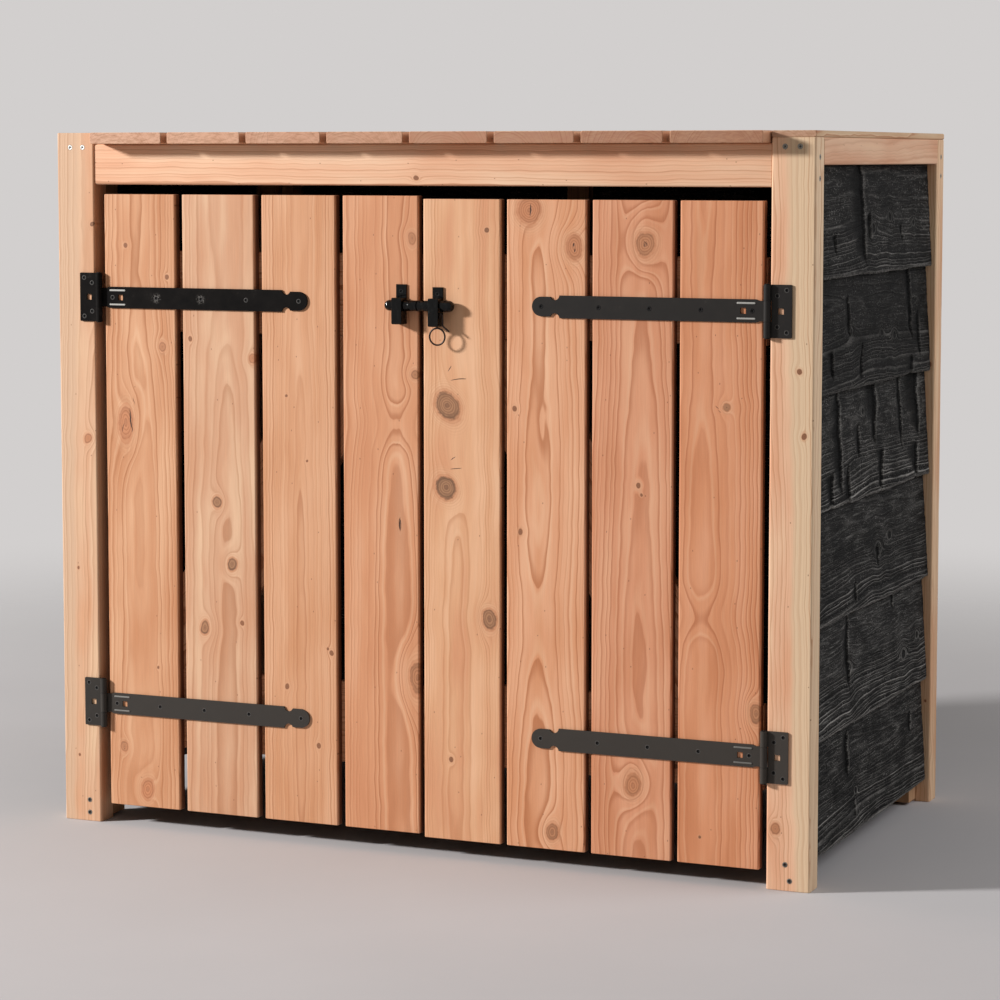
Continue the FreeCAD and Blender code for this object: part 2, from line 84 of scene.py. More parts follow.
MATH = "ShaderNodeMath"
VECTOR = "ShaderNodeVectorMath"
RANGE = "ShaderNodeMapRange"
NOISE = "ShaderNodeTexNoise"
MIX = "ShaderNodeMix"
JOIN = "ShaderNodeCombineXYZ"
SPLIT = "ShaderNodeSeparateXYZ"
PARTS = "ShaderNodeSeparateColor"
PLACE = "ShaderNodeTexCoord"
GROUP = "ShaderNodeGroup"
BUMP = "ShaderNodeBump"
SURFACE = "ShaderNodeBsdfPrincipled"

# Settings that many nodes share: a step that is soft at both ends, and a mix of two colours
SMOOTH = {"interpolation_type": "SMOOTHSTEP"}
COLOUR = {"data_type": "RGBA"}


# Small helpers: colour, shader nodes, node groups

def linear(code):
    """An sRGB hex colour as linear red, green, blue and alpha."""
    parts = [int(code[i:i + 2], 16) / 255 for i in (1, 3, 5)]
    return [c / 12.92 if c <= 0.04045 else ((c + 0.055) / 1.055) ** 2.4 for c in parts] + [1.0]


def node(tree, kind, inputs=None, **settings):
    """Adds a shader node with its settings. Each input takes a value, an sRGB hex colour, a socket, or a
    node, which stands for its first output in use."""
    made = tree.nodes.new(kind)
    for key, value in settings.items():
        setattr(made, key, value)
    for key, value in (inputs or {}).items():
        if isinstance(value, bpy.types.Node):
            value = next(socket for socket in value.outputs if socket.enabled)
        if isinstance(value, bpy.types.NodeSocket):
            tree.links.new(value, made.inputs[key])
        else:
            made.inputs[key].default_value = linear(value) if isinstance(value, str) else value
    return made


def new_group(name, inputs, outputs):
    """An empty node group of float sockets, with its input and output nodes."""
    tree = bpy.data.node_groups.new(name, "ShaderNodeTree")
    for label in inputs:
        tree.interface.new_socket(name=label, in_out="INPUT", socket_type="NodeSocketFloat")
    for label in outputs:
        tree.interface.new_socket(name=label, in_out="OUTPUT", socket_type="NodeSocketFloat")
    return tree, tree.nodes.new("NodeGroupInput").outputs, tree.nodes.new("NodeGroupOutput").inputs


def new_material(name):
    """An empty material, and the node tree to build it in."""
    material = bpy.data.materials.new(name)
    material.use_nodes = True
    tree = material.node_tree
    tree.nodes.clear()
    return material, tree


def finish_material(material, tree, shader):
    """Gives a material its output."""
    node(tree, "ShaderNodeOutputMaterial", {"Surface": shader})
    return material


# Timber: how a softwood board's growth rings and knots show on every face of it

def knot_group():
    """One knot on a board: grain lines bend round it, and rings close into ovals above and below it."""
    tree, given, result = new_group(
        "knot",
        ["Across", "Along", "Bend", "Swell", "Distance", "Darkness", "Size",
         "Knot Across", "Knot Along", "Radius", "Stretch", "Push", "Raise", "Lean", "Shade", "Core"],
        ["Bend", "Swell", "Distance", "Darkness", "Size"])

    # A point's place from the middle of the knot, in radii of the knot
    across = node(tree, MATH, {0: given["Across"], 1: given["Knot Across"]}, operation="SUBTRACT")
    along = node(tree, MATH, {0: given["Along"], 1: given["Knot Along"]}, operation="SUBTRACT")
    across = node(tree, MATH, {0: along, 1: given["Lean"], 2: across}, operation="MULTIPLY_ADD")
    tall = node(tree, MATH, {0: given["Radius"], 1: given["Stretch"]}, operation="MULTIPLY")
    a = node(tree, MATH, {0: across, 1: given["Radius"]}, operation="DIVIDE")
    b = node(tree, MATH, {0: along, 1: tall}, operation="DIVIDE")
    a2 = node(tree, MATH, {0: a, 1: a}, operation="MULTIPLY")
    b2 = node(tree, MATH, {0: b, 1: b}, operation="MULTIPLY")
    d2 = node(tree, MATH, {0: a2, 1: b2}, operation="ADD")
    distance = node(tree, MATH, {0: d2}, operation="SQRT")

    # Lines are pushed aside, most at the knot's sides and little from three radii above or below it
    fade = node(tree, MATH, {0: b2, 1: -0.22}, operation="MULTIPLY")
    fade = node(tree, MATH, {0: fade}, operation="EXPONENT")
    side = node(tree, MATH, {0: a2, 1: 1.0}, operation="ADD")
    side = node(tree, MATH, {0: a, 1: side}, operation="DIVIDE")
    push = node(tree, MATH, {0: given["Push"], 1: given["Radius"]}, operation="MULTIPLY")
    push = node(tree, MATH, {0: push, 1: fade}, operation="MULTIPLY")
    bend = node(tree, MATH, {0: side, 1: push}, operation="MULTIPLY")
    bend = node(tree, MATH, {0: given["Bend"], 1: bend}, operation="SUBTRACT")

    # Rings swell towards the knot, which closes them into ovals
    ring = node(tree, MATH, {0: d2, 1: -0.2}, operation="MULTIPLY")
    ring = node(tree, MATH, {0: ring}, operation="EXPONENT")
    swell = node(tree, MATH, {0: ring, 1: given["Raise"], 2: given["Swell"]}, operation="MULTIPLY_ADD")

    # The nearest knot gives a point its distance, darkness and size. One without a core is never the nearest
    hidden = node(tree, MATH, {0: 1.0, 1: given["Core"]}, operation="SUBTRACT")
    reach = node(tree, MATH, {0: hidden, 1: FAR_OFF, 2: distance}, operation="MULTIPLY_ADD")
    nearer = node(tree, MATH, {0: reach, 1: given["Distance"]}, operation="LESS_THAN")
    nearest = node(tree, MATH, {0: reach, 1: given["Distance"]}, operation="MINIMUM")
    shade = node(tree, MIX, {0: nearer, 2: given["Darkness"], 3: given["Shade"]})
    size = node(tree, MIX, {0: nearer, 2: given["Size"], 3: given["Radius"]})
    for label, value in (("Bend", bend), ("Swell", swell), ("Distance", nearest),
                         ("Darkness", shade), ("Size", size)):
        tree.links.new(value.outputs[0], result[label])
    return tree


def ring_group():
    """Growth rings as thin lines of latewood, up to 1 at a strong line's sharp edge, with the pale crest of
    earlywood beside each, broad streaks and short fibre."""
    tree, given, result = new_group(
        "growth_rings",
        ["Across", "Through", "Along", "Swell", "Pith Across", "Pith Through", "Taper",
         "Wander", "Ring", "Seed"],
        ["Line", "Crest", "Broad", "Fibre", "Radius"])

    # The rings stray from true cones over 95 by 420 mm, and a little over 26 by 120 mm
    slow = node(tree, JOIN, {0: given["Across"], 1: given["Through"], 2: given["Along"]})
    shift = node(tree, JOIN, {0: given["Seed"], 1: 0.0, 2: given["Seed"]})
    moved = node(tree, VECTOR, {0: slow, 1: shift}, operation="ADD")
    wide = node(tree, VECTOR, {0: moved, 1: (1 / 95, 1 / 95, 1 / 420)}, operation="MULTIPLY")
    fine = node(tree, VECTOR, {0: moved, 1: (1 / 26, 1 / 26, 1 / 120)}, operation="MULTIPLY")
    wide = node(tree, NOISE, {"Vector": wide, "Scale": 1.0, "Detail": 1.0, "Roughness": 0.4})
    fine = node(tree, NOISE, {"Vector": fine, "Scale": 1.0, "Detail": 2.0, "Roughness": 0.5})
    wide = node(tree, MATH, {0: wide, 1: 0.5}, operation="SUBTRACT")
    fine = node(tree, MATH, {0: fine, 1: 0.5}, operation="SUBTRACT")
    fine = node(tree, MATH, {0: fine, 1: 0.22, 2: wide}, operation="MULTIPLY_ADD")
    wander = node(tree, MATH, {0: fine, 1: given["Wander"], 2: given["Swell"]}, operation="MULTIPLY_ADD")
    wander = node(tree, MATH, {0: given["Along"], 1: given["Taper"], 2: wander}, operation="MULTIPLY_ADD")

    # Distance from the pith, counted in rings whose spacing is uneven
    x = node(tree, MATH, {0: given["Across"], 1: given["Pith Across"]}, operation="SUBTRACT")
    y = node(tree, MATH, {0: given["Through"], 1: given["Pith Through"]}, operation="SUBTRACT")
    x = node(tree, MATH, {0: x, 1: x}, operation="MULTIPLY")
    y = node(tree, MATH, {0: y, 1: y, 2: x}, operation="MULTIPLY_ADD")
    radius = node(tree, MATH, {0: y}, operation="SQRT")
    radius = node(tree, MATH, {0: radius, 1: wander}, operation="ADD")
    count = node(tree, MATH, {0: radius, 1: given["Ring"]}, operation="DIVIDE")
    uneven = node(tree, MATH, {0: count, 1: 0.31, 2: given["Seed"]}, operation="MULTIPLY_ADD")
    uneven = node(tree, NOISE, {"W": uneven, "Scale": 1.0, "Detail": 1.0}, noise_dimensions="1D")
    count = node(tree, MATH, {0: uneven, 1: 2.6, 2: count}, operation="MULTIPLY_ADD")
    place = node(tree, MATH, {0: count}, operation="FRACT")

    # Each ring has its own strength. Its latewood darkens slowly and ends sharply, and pale earlywood follows
    number = node(tree, MATH, {0: count}, operation="FLOOR")
    number = node(tree, MATH, {0: number, 1: given["Seed"]}, operation="ADD")
    strength = node(tree, "ShaderNodeTexWhiteNoise", {"W": number}, noise_dimensions="1D")
    strength = node(tree, RANGE, {0: strength, 3: 0.22, 4: 1.0})
    rise = node(tree, RANGE, {0: place, 1: 0.58, 2: 0.93, 4: 0.86}, **SMOOTH)
    gradual = node(tree, RANGE, {0: place, 1: 0.15, 2: 0.94, 4: 0.14})
    drop = node(tree, RANGE, {0: place, 1: 0.95, 2: 1.0, 3: 1.0, 4: 0.0}, **SMOOTH)
    line = node(tree, MATH, {0: rise, 1: gradual}, operation="ADD")
    line = node(tree, MATH, {0: line, 1: drop}, operation="MULTIPLY")
    line = node(tree, MATH, {0: line, 1: strength}, operation="MULTIPLY")
    crest = node(tree, RANGE, {0: place, 1: 0.0, 2: 0.1}, **SMOOTH)
    fall = node(tree, RANGE, {0: place, 1: 0.12, 2: 0.34, 3: 1.0, 4: 0.0}, **SMOOTH)
    crest = node(tree, MATH, {0: crest, 1: fall}, operation="MULTIPLY")
    crest = node(tree, MATH, {0: crest, 1: strength}, operation="MULTIPLY")

    # Streaks 22 by 600 mm, and fibre 1.6 by 70 mm, which is coarser than the real one, so that it shows
    streak = node(tree, VECTOR, {0: moved, 1: (1 / 22, 1 / 22, 1 / 600)}, operation="MULTIPLY")
    streak = node(tree, NOISE, {"Vector": streak, "Scale": 1.0, "Detail": 2.0, "Roughness": 0.55})
    hair = node(tree, VECTOR, {0: moved, 1: (1 / 1.6, 1 / 1.6, 1 / 70)}, operation="MULTIPLY")
    hair = node(tree, NOISE, {"Vector": hair, "Scale": 1.0, "Detail": 2.0, "Roughness": 0.6})
    for label, value in (("Line", line), ("Crest", crest), ("Broad", streak), ("Fibre", hair),
                         ("Radius", radius)):
        tree.links.new(value.outputs[0], result[label])
    return tree


def stroke_group():
    """One crack or torn fibre: a dark lens along the grain, with a lean and a ragged edge."""
    tree, given, result = new_group(
        "stroke",
        ["Across", "Along", "Dark", "Stroke Across", "Stroke Along", "Half Length", "Half Width", "Lean"],
        ["Dark"])
    along = node(tree, MATH, {0: given["Along"], 1: given["Stroke Along"]}, operation="SUBTRACT")
    across = node(tree, MATH, {0: given["Across"], 1: given["Stroke Across"]}, operation="SUBTRACT")
    lean = node(tree, MATH, {0: along, 1: given["Lean"]}, operation="MULTIPLY")
    across = node(tree, MATH, {0: across, 1: lean}, operation="SUBTRACT")

    # It wavers by up to 2.5 mm over about 6 mm
    ragged = node(tree, JOIN, {0: given["Stroke Across"], 1: given["Stroke Along"], 2: along})
    ragged = node(tree, NOISE, {"Vector": ragged, "Scale": 0.17, "Detail": 2.0})
    across = node(tree, MATH, {0: ragged, 1: 5.0, 2: across}, operation="MULTIPLY_ADD")
    across = node(tree, MATH, {0: across, 1: 2.5}, operation="SUBTRACT")
    across = node(tree, MATH, {0: across}, operation="ABSOLUTE")

    # It narrows towards both ends, and its edge is soft over 0.7 mm
    share = node(tree, MATH, {0: along, 1: given["Half Length"]}, operation="DIVIDE")
    share = node(tree, MATH, {0: share, 1: share}, operation="MULTIPLY")
    wide = node(tree, MATH, {0: 1.0, 1: share}, operation="SUBTRACT")
    wide = node(tree, MATH, {0: wide, 1: given["Half Width"]}, operation="MULTIPLY")
    inside = node(tree, MATH, {0: wide, 1: across}, operation="SUBTRACT")
    inside = node(tree, RANGE, {0: inside, 1: 0.0, 2: 0.7})
    dark = node(tree, MATH, {0: inside, 1: given["Dark"]}, operation="MAXIMUM")
    tree.links.new(dark.outputs[0], result["Dark"])
    return tree


# How far off a point is, in radii, while no knot is near it
FAR_OFF = 99.0

KNOT = knot_group()
RINGS = ring_group()
STROKE = stroke_group()

# Sizes of knots: radius in mm, stretch along the grain, how far in radii lines are pushed aside, and how far
# in mm rings swell. A fifth number leans the knot
PIN = (2.2, 1.2, 1.2, 1.5)
SMALL = (4.0, 1.2, 1.6, 3.5)
MIDDLE = (7.5, 1.25, 1.9, 6.0)
LARGE = (12.5, 1.3, 2.0, 9.0)


class Grain:
    """Which way a piece's grain runs, and how its colours, rings and knots look, in millimetres from origin.
    Colours: face, with deep and pale where the tone changes, line for latewood, sapwood from sap on, end for
    sawn ends, and edge, if given, for painted shade on narrow sides in the gaps between boards. Rings are
    ring apart about a pith at (across, through), drift with taper along the piece and stray with wander. A
    knot is (across, along, size, darkness). An oval, where rings close without a knot, is (across, along,
    radius, stretch, swell). A stroke, a crack or torn fibre, is (across, along, half length, half width,
    lean)."""

    face, line, pale, deep = "#dba37e", "#ad6e48", "#e9bf9c", "#cf8f69"
    sap, sapwood, end, edge = 0.0, "#e2c4a2", "#bd937a", None
    ring, pith, taper, wander = 5.2, (4.0, 46.0), 0.012, 16.0
    contrast, seed = 0.75, 0.0
    knots, ovals, strokes = (), (), ()

    def __init__(self, origin, across, through, **look):
        self.origin = Vector(origin)
        self.across = Vector(across)
        self.through = Vector(through)
        self.along = self.across.cross(self.through)
        self.turn = Matrix((self.across, self.through, self.along)).transposed().to_euler()
        vars(self).update(look)


def board_millimetres(tree, grain):
    """The piece's own place in millimetres: across, through and along its grain."""
    local = node(tree, "ShaderNodeMapping",
                 {"Vector": node(tree, PLACE).outputs["Object"], "Location": grain.origin,
                  "Rotation": grain.turn, "Scale": (MM, MM, MM)}, vector_type="TEXTURE")
    return local, node(tree, SPLIT, {0: local}).outputs


def knots_on(tree, grain, across, along):
    """Chains the knots and ovals of a board. Gives bent place across, swell, distance, darkness and size."""
    state = {"Bend": across, "Swell": 0.0, "Distance": FAR_OFF, "Darkness": 0.0, "Size": 5.0}
    rows = [(u, w, kind, shade, 1.0) for u, w, kind, shade in grain.knots]
    rows += [(u, w, (radius, stretch, 0.0, swell), 0.0, 0.0) for u, w, radius, stretch, swell in grain.ovals]
    for u, w, kind, shade, core in rows:
        radius, stretch, push, swell, lean = (*kind, 0.0)[:5]
        made = node(tree, GROUP, {
            **state, "Across": across, "Along": along, "Knot Across": u, "Knot Along": w, "Radius": radius,
            "Stretch": stretch, "Push": push, "Raise": swell, "Lean": lean, "Shade": shade, "Core": core},
            node_tree=KNOT)
        state = {label: made.outputs[label] for label in state}
    return state


def rings_on(tree, grain, knots, through, along, seed):
    """The growth rings of a board, bent by its knots."""
    return node(tree, GROUP, {
        "Across": knots["Bend"], "Through": through, "Along": along, "Swell": knots["Swell"],
        "Pith Across": grain.pith[0], "Pith Through": grain.pith[1], "Taper": grain.taper,
        "Wander": grain.wander, "Ring": grain.ring, "Seed": seed}, node_tree=RINGS).outputs


def strokes_on(tree, strokes, across, along):
    """Chains the cracks and torn fibres of a board. Gives how dark they make a point."""
    dark = 0.0
    for u, w, half_length, half_width, lean in strokes:
        dark = node(tree, GROUP, {
            "Across": across, "Along": along, "Dark": dark, "Stroke Across": u, "Stroke Along": w,
            "Half Length": half_length, "Half Width": half_width, "Lean": lean}, node_tree=STROKE)
    return dark


def planed_fir(name, grain, settings):
    """Planed, oiled Douglas fir: smooth salmon to straw earlywood, thin brown latewood lines, satin in the
    light, with ringed knots that the lines flow round, cracks, and pin-sized flecks of resin."""
    material, tree = new_material(name)
    local, (across, through, along) = board_millimetres(tree, grain)

    # All of the grain wavers a little, over about 55 mm
    warp = node(tree, NOISE, {"Vector": local, "Scale": 1 / 55, "Detail": 1.0})
    warp = node(tree, PARTS, {0: warp.outputs["Color"]}).outputs
    sway = node(tree, MATH, {0: warp[0], 1: 0.5}, operation="SUBTRACT")
    across = node(tree, MATH, {0: sway, 1: 6.5, 2: across}, operation="MULTIPLY_ADD")
    sway = node(tree, MATH, {0: warp[1], 1: 0.5}, operation="SUBTRACT")
    along = node(tree, MATH, {0: sway, 1: 16.0, 2: along}, operation="MULTIPLY_ADD")
    knots = knots_on(tree, grain, across, along)
    rings = rings_on(tree, grain, knots, through, along, grain.seed)

    # Slow changes of tone, about 60 mm wide and 250 mm long, with some narrower streaks
    patch = node(tree, VECTOR, {0: local, 1: (1 / 60, 1 / 60, 1 / 250)}, operation="MULTIPLY")
    patch = node(tree, NOISE, {"Vector": patch, "Scale": 1.0, "Detail": 2.0, "Roughness": 0.5})
    tone = node(tree, MATH, {0: rings["Broad"], 1: 0.6, 2: patch}, operation="MULTIPLY_ADD")
    tone = node(tree, RANGE, {0: tone, 1: 0.44, 2: 1.16}, **SMOOTH)
    wood = node(tree, "ShaderNodeValToRGB", {0: tone})
    stops = wood.color_ramp.elements
    stops[0].color = linear(grain.deep)
    stops[1].color = linear(grain.pale)
    stops.new(0.5).color = linear(grain.face)
    if grain.sap:
        sap = node(tree, RANGE, {0: rings["Radius"], 1: grain.sap - 5, 2: grain.sap + 5}, **SMOOTH)
        wood = node(tree, MIX, {0: sap, 6: wood, 7: grain.sapwood}, **COLOUR)

    # Pale earlywood, brown latewood and faint fibre
    line_share = 1.35 * grain.contrast * settings.grain_contrast
    for pattern, share, colour in (("Crest", 0.2, "#f3d0ac"), ("Line", line_share, grain.line)):
        amount = node(tree, MATH, {0: rings[pattern], 1: share}, operation="MULTIPLY")
        wood = node(tree, MIX, {0: amount, 6: wood, 7: colour}, **COLOUR)
    light = node(tree, RANGE, {0: rings["Fibre"], 1: 0.25, 2: 0.75, 3: 0.94, 4: 1.05})
    wood = node(tree, VECTOR, {0: wood, "Scale": light}, operation="SCALE")

    # Round a knot: paler wood, reddish swirls and a soft brown edge. The swirls and the rings inside the knot
    # are drawn 3.8 mm apart, coarser than the real ones, because finer ones don't show
    ragged = node(tree, NOISE, {"Vector": local, "Scale": 0.11, "Detail": 3.0, "Roughness": 0.6})
    ragged = node(tree, RANGE, {0: ragged, 3: -0.3, 4: 0.3})
    reach = node(tree, MATH, {0: knots["Distance"], 1: ragged}, operation="ADD")
    swirl = node(tree, MATH, {0: knots["Distance"], 1: knots["Size"]}, operation="MULTIPLY")
    swirl = node(tree, MATH, {0: ragged, 1: 5.0, 2: swirl}, operation="MULTIPLY_ADD")
    swirl = node(tree, MATH, {0: swirl, 1: 3.8}, operation="DIVIDE")
    swirl = node(tree, MATH, {0: swirl}, operation="FRACT")
    swirl = node(tree, RANGE, {0: swirl, 1: 0.35, 2: 0.95}, **SMOOTH)
    pale = node(tree, RANGE, {0: reach, 1: 1.1, 2: 2.2, 3: 0.3, 4: 0.0}, **SMOOTH)
    outside = node(tree, RANGE, {0: reach, 1: 1.0, 2: 2.3, 3: 0.34, 4: 0.0}, **SMOOTH)
    outside = node(tree, MATH, {0: outside, 1: swirl}, operation="MULTIPLY")
    brown = node(tree, RANGE, {0: reach, 1: 0.95, 2: 1.5, 3: 0.55, 4: 0.0}, **SMOOTH)
    for amount, colour in ((pale, "#e6bb96"), (outside, "#b06c46"), (brown, "#b9744d")):
        wood = node(tree, MIX, {0: amount, 6: wood, 7: colour}, **COLOUR)

    # In a knot: small ones are plain and dark, and large ones have rings, a dark centre and a dark rim
    heart = node(tree, MIX, {0: knots["Darkness"], 6: "#c98760", 7: "#a57a5a"}, **COLOUR)
    ringed = node(tree, MIX, {0: knots["Darkness"], 6: "#a3623d", 7: "#5f3f2b"}, **COLOUR)
    plain = node(tree, RANGE, {0: knots["Size"], 1: 7.0, 2: 4.0, 4: 0.7}, **SMOOTH)
    inside = node(tree, RANGE, {0: knots["Size"], 1: 5.0, 2: 11.0, 3: 0.1, 4: 0.55}, **SMOOTH)
    inside = node(tree, MATH, {0: swirl, 1: inside}, operation="MULTIPLY")
    centre = node(tree, RANGE, {0: reach, 1: 0.06, 2: 0.3, 3: 1.0, 4: 0.0}, **SMOOTH)
    dark = node(tree, RANGE, {0: knots["Darkness"], 3: 0.2, 4: 0.6})
    centre = node(tree, MATH, {0: centre, 1: dark}, operation="MULTIPLY")
    rim = node(tree, RANGE, {0: reach, 1: 0.5, 2: 0.95}, **SMOOTH)
    dark = node(tree, RANGE, {0: knots["Darkness"], 3: 0.15, 4: 0.9})
    rim = node(tree, MATH, {0: rim, 1: dark}, operation="MULTIPLY")
    broken = node(tree, RANGE, {0: warp[2], 1: 0.3, 2: 0.62, 3: 0.35, 4: 1.0}, **SMOOTH)
    rim = node(tree, MATH, {0: rim, 1: broken}, operation="MULTIPLY")
    for amount, colour in ((plain, "#7a4f36"), (inside, ringed), (centre, "#6b4634"), (rim, "#664834")):
        heart = node(tree, MIX, {0: amount, 6: heart, 7: colour}, **COLOUR)
    core = node(tree, RANGE, {0: reach, 1: 0.84, 2: 1.1, 3: 1.0, 4: 0.0}, **SMOOTH)
    wood = node(tree, MIX, {0: core, 6: wood, 7: heart}, **COLOUR)

    # Cracks, and flecks of resin about 2 mm across, some 50 mm apart
    crack = strokes_on(tree, grain.strokes, across, along)
    fleck_u = node(tree, MATH, {0: across, 1: 1 / 38, 2: grain.seed}, operation="MULTIPLY_ADD")
    fleck_w = node(tree, MATH, {0: along, 1: 1 / 62}, operation="MULTIPLY")
    flecks = node(tree, "ShaderNodeTexVoronoi", {"Vector": node(tree, JOIN, {0: fleck_u, 1: fleck_w}),
                                                 "Scale": 1.0}, voronoi_dimensions="2D").outputs
    chance = node(tree, PARTS, {0: flecks["Color"]})
    chance = node(tree, MATH, {0: chance, 1: 0.62}, operation="GREATER_THAN")
    fleck = node(tree, RANGE, {0: flecks["Distance"], 1: 0.014, 2: 0.03, 3: 0.7, 4: 0.0}, **SMOOTH)
    fleck = node(tree, MATH, {0: fleck, 1: chance}, operation="MULTIPLY")
    for amount, colour in ((fleck, "#7d4f36"), (crack, "#3f281d")):
        wood = node(tree, MIX, {0: amount, 6: wood, 7: colour}, **COLOUR)

    # Sawn ends drink more oil, so they are duller and greyer than the faces
    normal = node(tree, PLACE).outputs["Normal"]
    facing = node(tree, VECTOR, {0: normal, 1: grain.along}, operation="DOT_PRODUCT")
    facing = node(tree, MATH, {0: facing}, operation="ABSOLUTE")
    end = node(tree, RANGE, {0: facing, 1: 0.75, 2: 0.95, 4: 0.78})
    pores = node(tree, VECTOR, {0: local, 1: (0.09, 0.3, 0.3)}, operation="MULTIPLY")
    pores = node(tree, NOISE, {"Vector": pores, "Scale": 1.0, "Detail": 3.0, "Roughness": 0.65})
    pores = node(tree, RANGE, {0: pores, 1: 0.3, 2: 0.62}, **SMOOTH)
    sawn = node(tree, MIX, {0: pores, 6: "#a17459", 7: grain.end}, **COLOUR)
    wood = node(tree, MIX, {0: end, 6: wood, 7: sawn}, **COLOUR)

    # Narrow sides that face the next board are painted darker as shade in the gap, deepening from just
    # behind the front face
    if grain.edge:
        edge = node(tree, VECTOR, {0: normal, 1: grain.across}, operation="DOT_PRODUCT")
        edge = node(tree, MATH, {0: edge}, operation="ABSOLUTE")
        edge = node(tree, RANGE, {0: edge, 1: 0.6, 2: 0.95}, **SMOOTH)
        behind = node(tree, RANGE, {0: through, 1: 0.5, 2: 9.0, 4: 0.85}, **SMOOTH)
        edge = node(tree, MATH, {0: edge, 1: behind}, operation="MULTIPLY")
        wood = node(tree, MIX, {0: edge, 6: wood, 7: grain.edge}, **COLOUR)

    # Latewood, fibre and knots stand up by tenths of a millimetre, and cracks go in
    rough = node(tree, RANGE, {0: rings["Fibre"], 1: 0.2, 2: 0.8, 3: 0.52, 4: 0.66})
    relief = rings["Fibre"]
    for pattern, share in ((rings["Line"], 0.5), (core, 0.6), (crack, -2.0)):
        relief = node(tree, MATH, {0: pattern, 1: share, 2: relief}, operation="MULTIPLY_ADD")
    bump = node(tree, BUMP, {"Height": relief, "Strength": 0.5, "Distance": 0.35 * MM})
    return finish_material(material, tree, node(tree, SURFACE, {
        "Base Color": wood, "Roughness": rough, "Normal": bump, "IOR": 1.5, "Specular IOR Level": 0.3}))


# Geometry: sawn and planed timbers swept along their grain

def outline(half_across, half_through, radius, arris_steps, span):
    """Points round a rounded rectangle, with the long sides divided, and whether each is on an arris."""
    points = []
    corners = ((1, 1, 0), (-1, 1, 90), (-1, -1, 180), (1, -1, 270))
    for i, (sx, sy, start) in enumerate(corners):
        cx = sx * (half_across - radius)
        cy = sy * (half_through - radius)
        for step in range(arris_steps + 1):
            angle = math.radians(start + 90 * step / arris_steps)
            points.append((cx + radius * math.cos(angle), cy + radius * math.sin(angle), True))
        nx, ny, _ = corners[(i + 1) % 4]
        ex, ey = nx * (half_across - radius), ny * (half_through - radius)
        if sy == ny:
            ax, ay, bx, by = cx, sy * half_through, ex, sy * half_through
        else:
            ax, ay, bx, by = sx * half_across, cy, sx * half_across, ey
        parts = max(1, round(math.hypot(bx - ax, by - ay) / span))
        for part in range(1, parts):
            t = part / parts
            points.append((ax + (bx - ax) * t, ay + (by - ay) * t, False))
    return points


# Steps round each arris, and in metres: the longest side of a face, and how far the ends are eased
ARRIS_STEPS = 4
FACE_SPAN = 0.018
END_EASE = 0.0014


def timber_mesh(mesh, low, high, grain, radius, wear, step, seed):
    """Adds one timber to a bmesh. Its section is swept along the grain and its ends are eased. Knocks and
    plane marks stand a little inside its true faces."""
    centre = (low + high) / 2
    size = high - low
    half_a, half_t, half_l = (sum(abs(d[i]) * size[i] for i in range(3)) / 2
                              for d in (grain.across, grain.through, grain.along))
    end_radius = min(radius, END_EASE)
    ease = [(end_radius * (1 - math.cos(a)), end_radius * (1 - math.sin(a)))
            for a in (math.radians(90 * k / ARRIS_STEPS) for k in range(ARRIS_STEPS + 1))]
    stations = [(-half_l + along, inset) for along, inset in ease]
    straight = 2 * (half_l - end_radius)
    parts = max(1, round(straight / step))
    stations += [(-half_l + end_radius + straight * k / parts, 0.0) for k in range(1, parts)]
    stations += [(-along, inset) for along, inset in reversed(stations[:ARRIS_STEPS + 1])]
    shape = outline(half_a, half_t, radius, ARRIS_STEPS, FACE_SPAN)
    rings = []
    for along, inset in stations:
        ring = []
        for a, t, on_arris in shape:
            a_in = math.copysign(max(abs(a) - inset, 0.0), a)
            t_in = math.copysign(max(abs(t) - inset, 0.0), t)
            spot = Vector((a * 9 + seed, t * 9, along * 4.5))
            worn = (noise.noise(spot) * 0.5 + 0.5) * 0.25
            if on_arris:
                dent = noise.noise(Vector((a * 30 + seed, t * 30, along * 26)))
                worn += max(0.0, dent - 0.15) * 1.6
            scale = 1 - worn * wear / max(abs(a), abs(t), 0.01) * 0.5
            point = grain.across * (a_in * scale) + grain.through * (t_in * scale) + grain.along * along
            ring.append(mesh.verts.new(centre + point))
        rings.append(ring)
    skin(mesh, rings)


def skin(mesh, rings, caps=True):
    """Joins closed rings of points with faces, and closes both ends. Gives each row of faces."""
    count = len(rings[0])
    rows = [[mesh.faces.new((first[k], first[(k + 1) % count], second[(k + 1) % count], second[k]))
             for k in range(count)] for first, second in zip(rings, rings[1:])]
    if caps:
        mesh.faces.new(list(reversed(rings[0])))
        mesh.faces.new(rings[-1])
    return rows


def object_from(name, mesh, material, body):
    """Turns a bmesh into a smooth-shaded piece with one material or a list of them, riding on a body."""
    bmesh.ops.recalc_face_normals(mesh, faces=mesh.faces)
    data = bpy.data.meshes.new(name)
    mesh.to_mesh(data)
    mesh.free()
    data.shade_smooth()
    piece = bpy.data.objects.new(name, data)
    bpy.context.scene.collection.objects.link(piece)
    for one in material if isinstance(material, list) else [material]:
        data.materials.append(one)
    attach(piece, body)
    return piece


def solids_of(name):
    """Lowest and highest corner, and the points, of each separate solid of a CAD node."""
    mesh = bmesh.new()
    mesh.from_mesh(NODES[name].data)
    bmesh.ops.remove_doubles(mesh, verts=mesh.verts, dist=1e-6)
    mesh.verts.ensure_lookup_table()
    seen = set()
    solids = []
    for start in mesh.verts:
        if start.index in seen:
            continue
        seen.add(start.index)
        stack, points = [start], []
        while stack:
            vertex = stack.pop()
            points.append(vertex.co.copy())
            for edge in vertex.link_edges:
                other = edge.other_vert(vertex)
                if other.index not in seen:
                    seen.add(other.index)
                    stack.append(other)
        low = Vector([min(p[i] for p in points) for i in range(3)])
        high = Vector([max(p[i] for p in points) for i in range(3)])
        solids.append((low, high, points))
    mesh.free()
    return solids


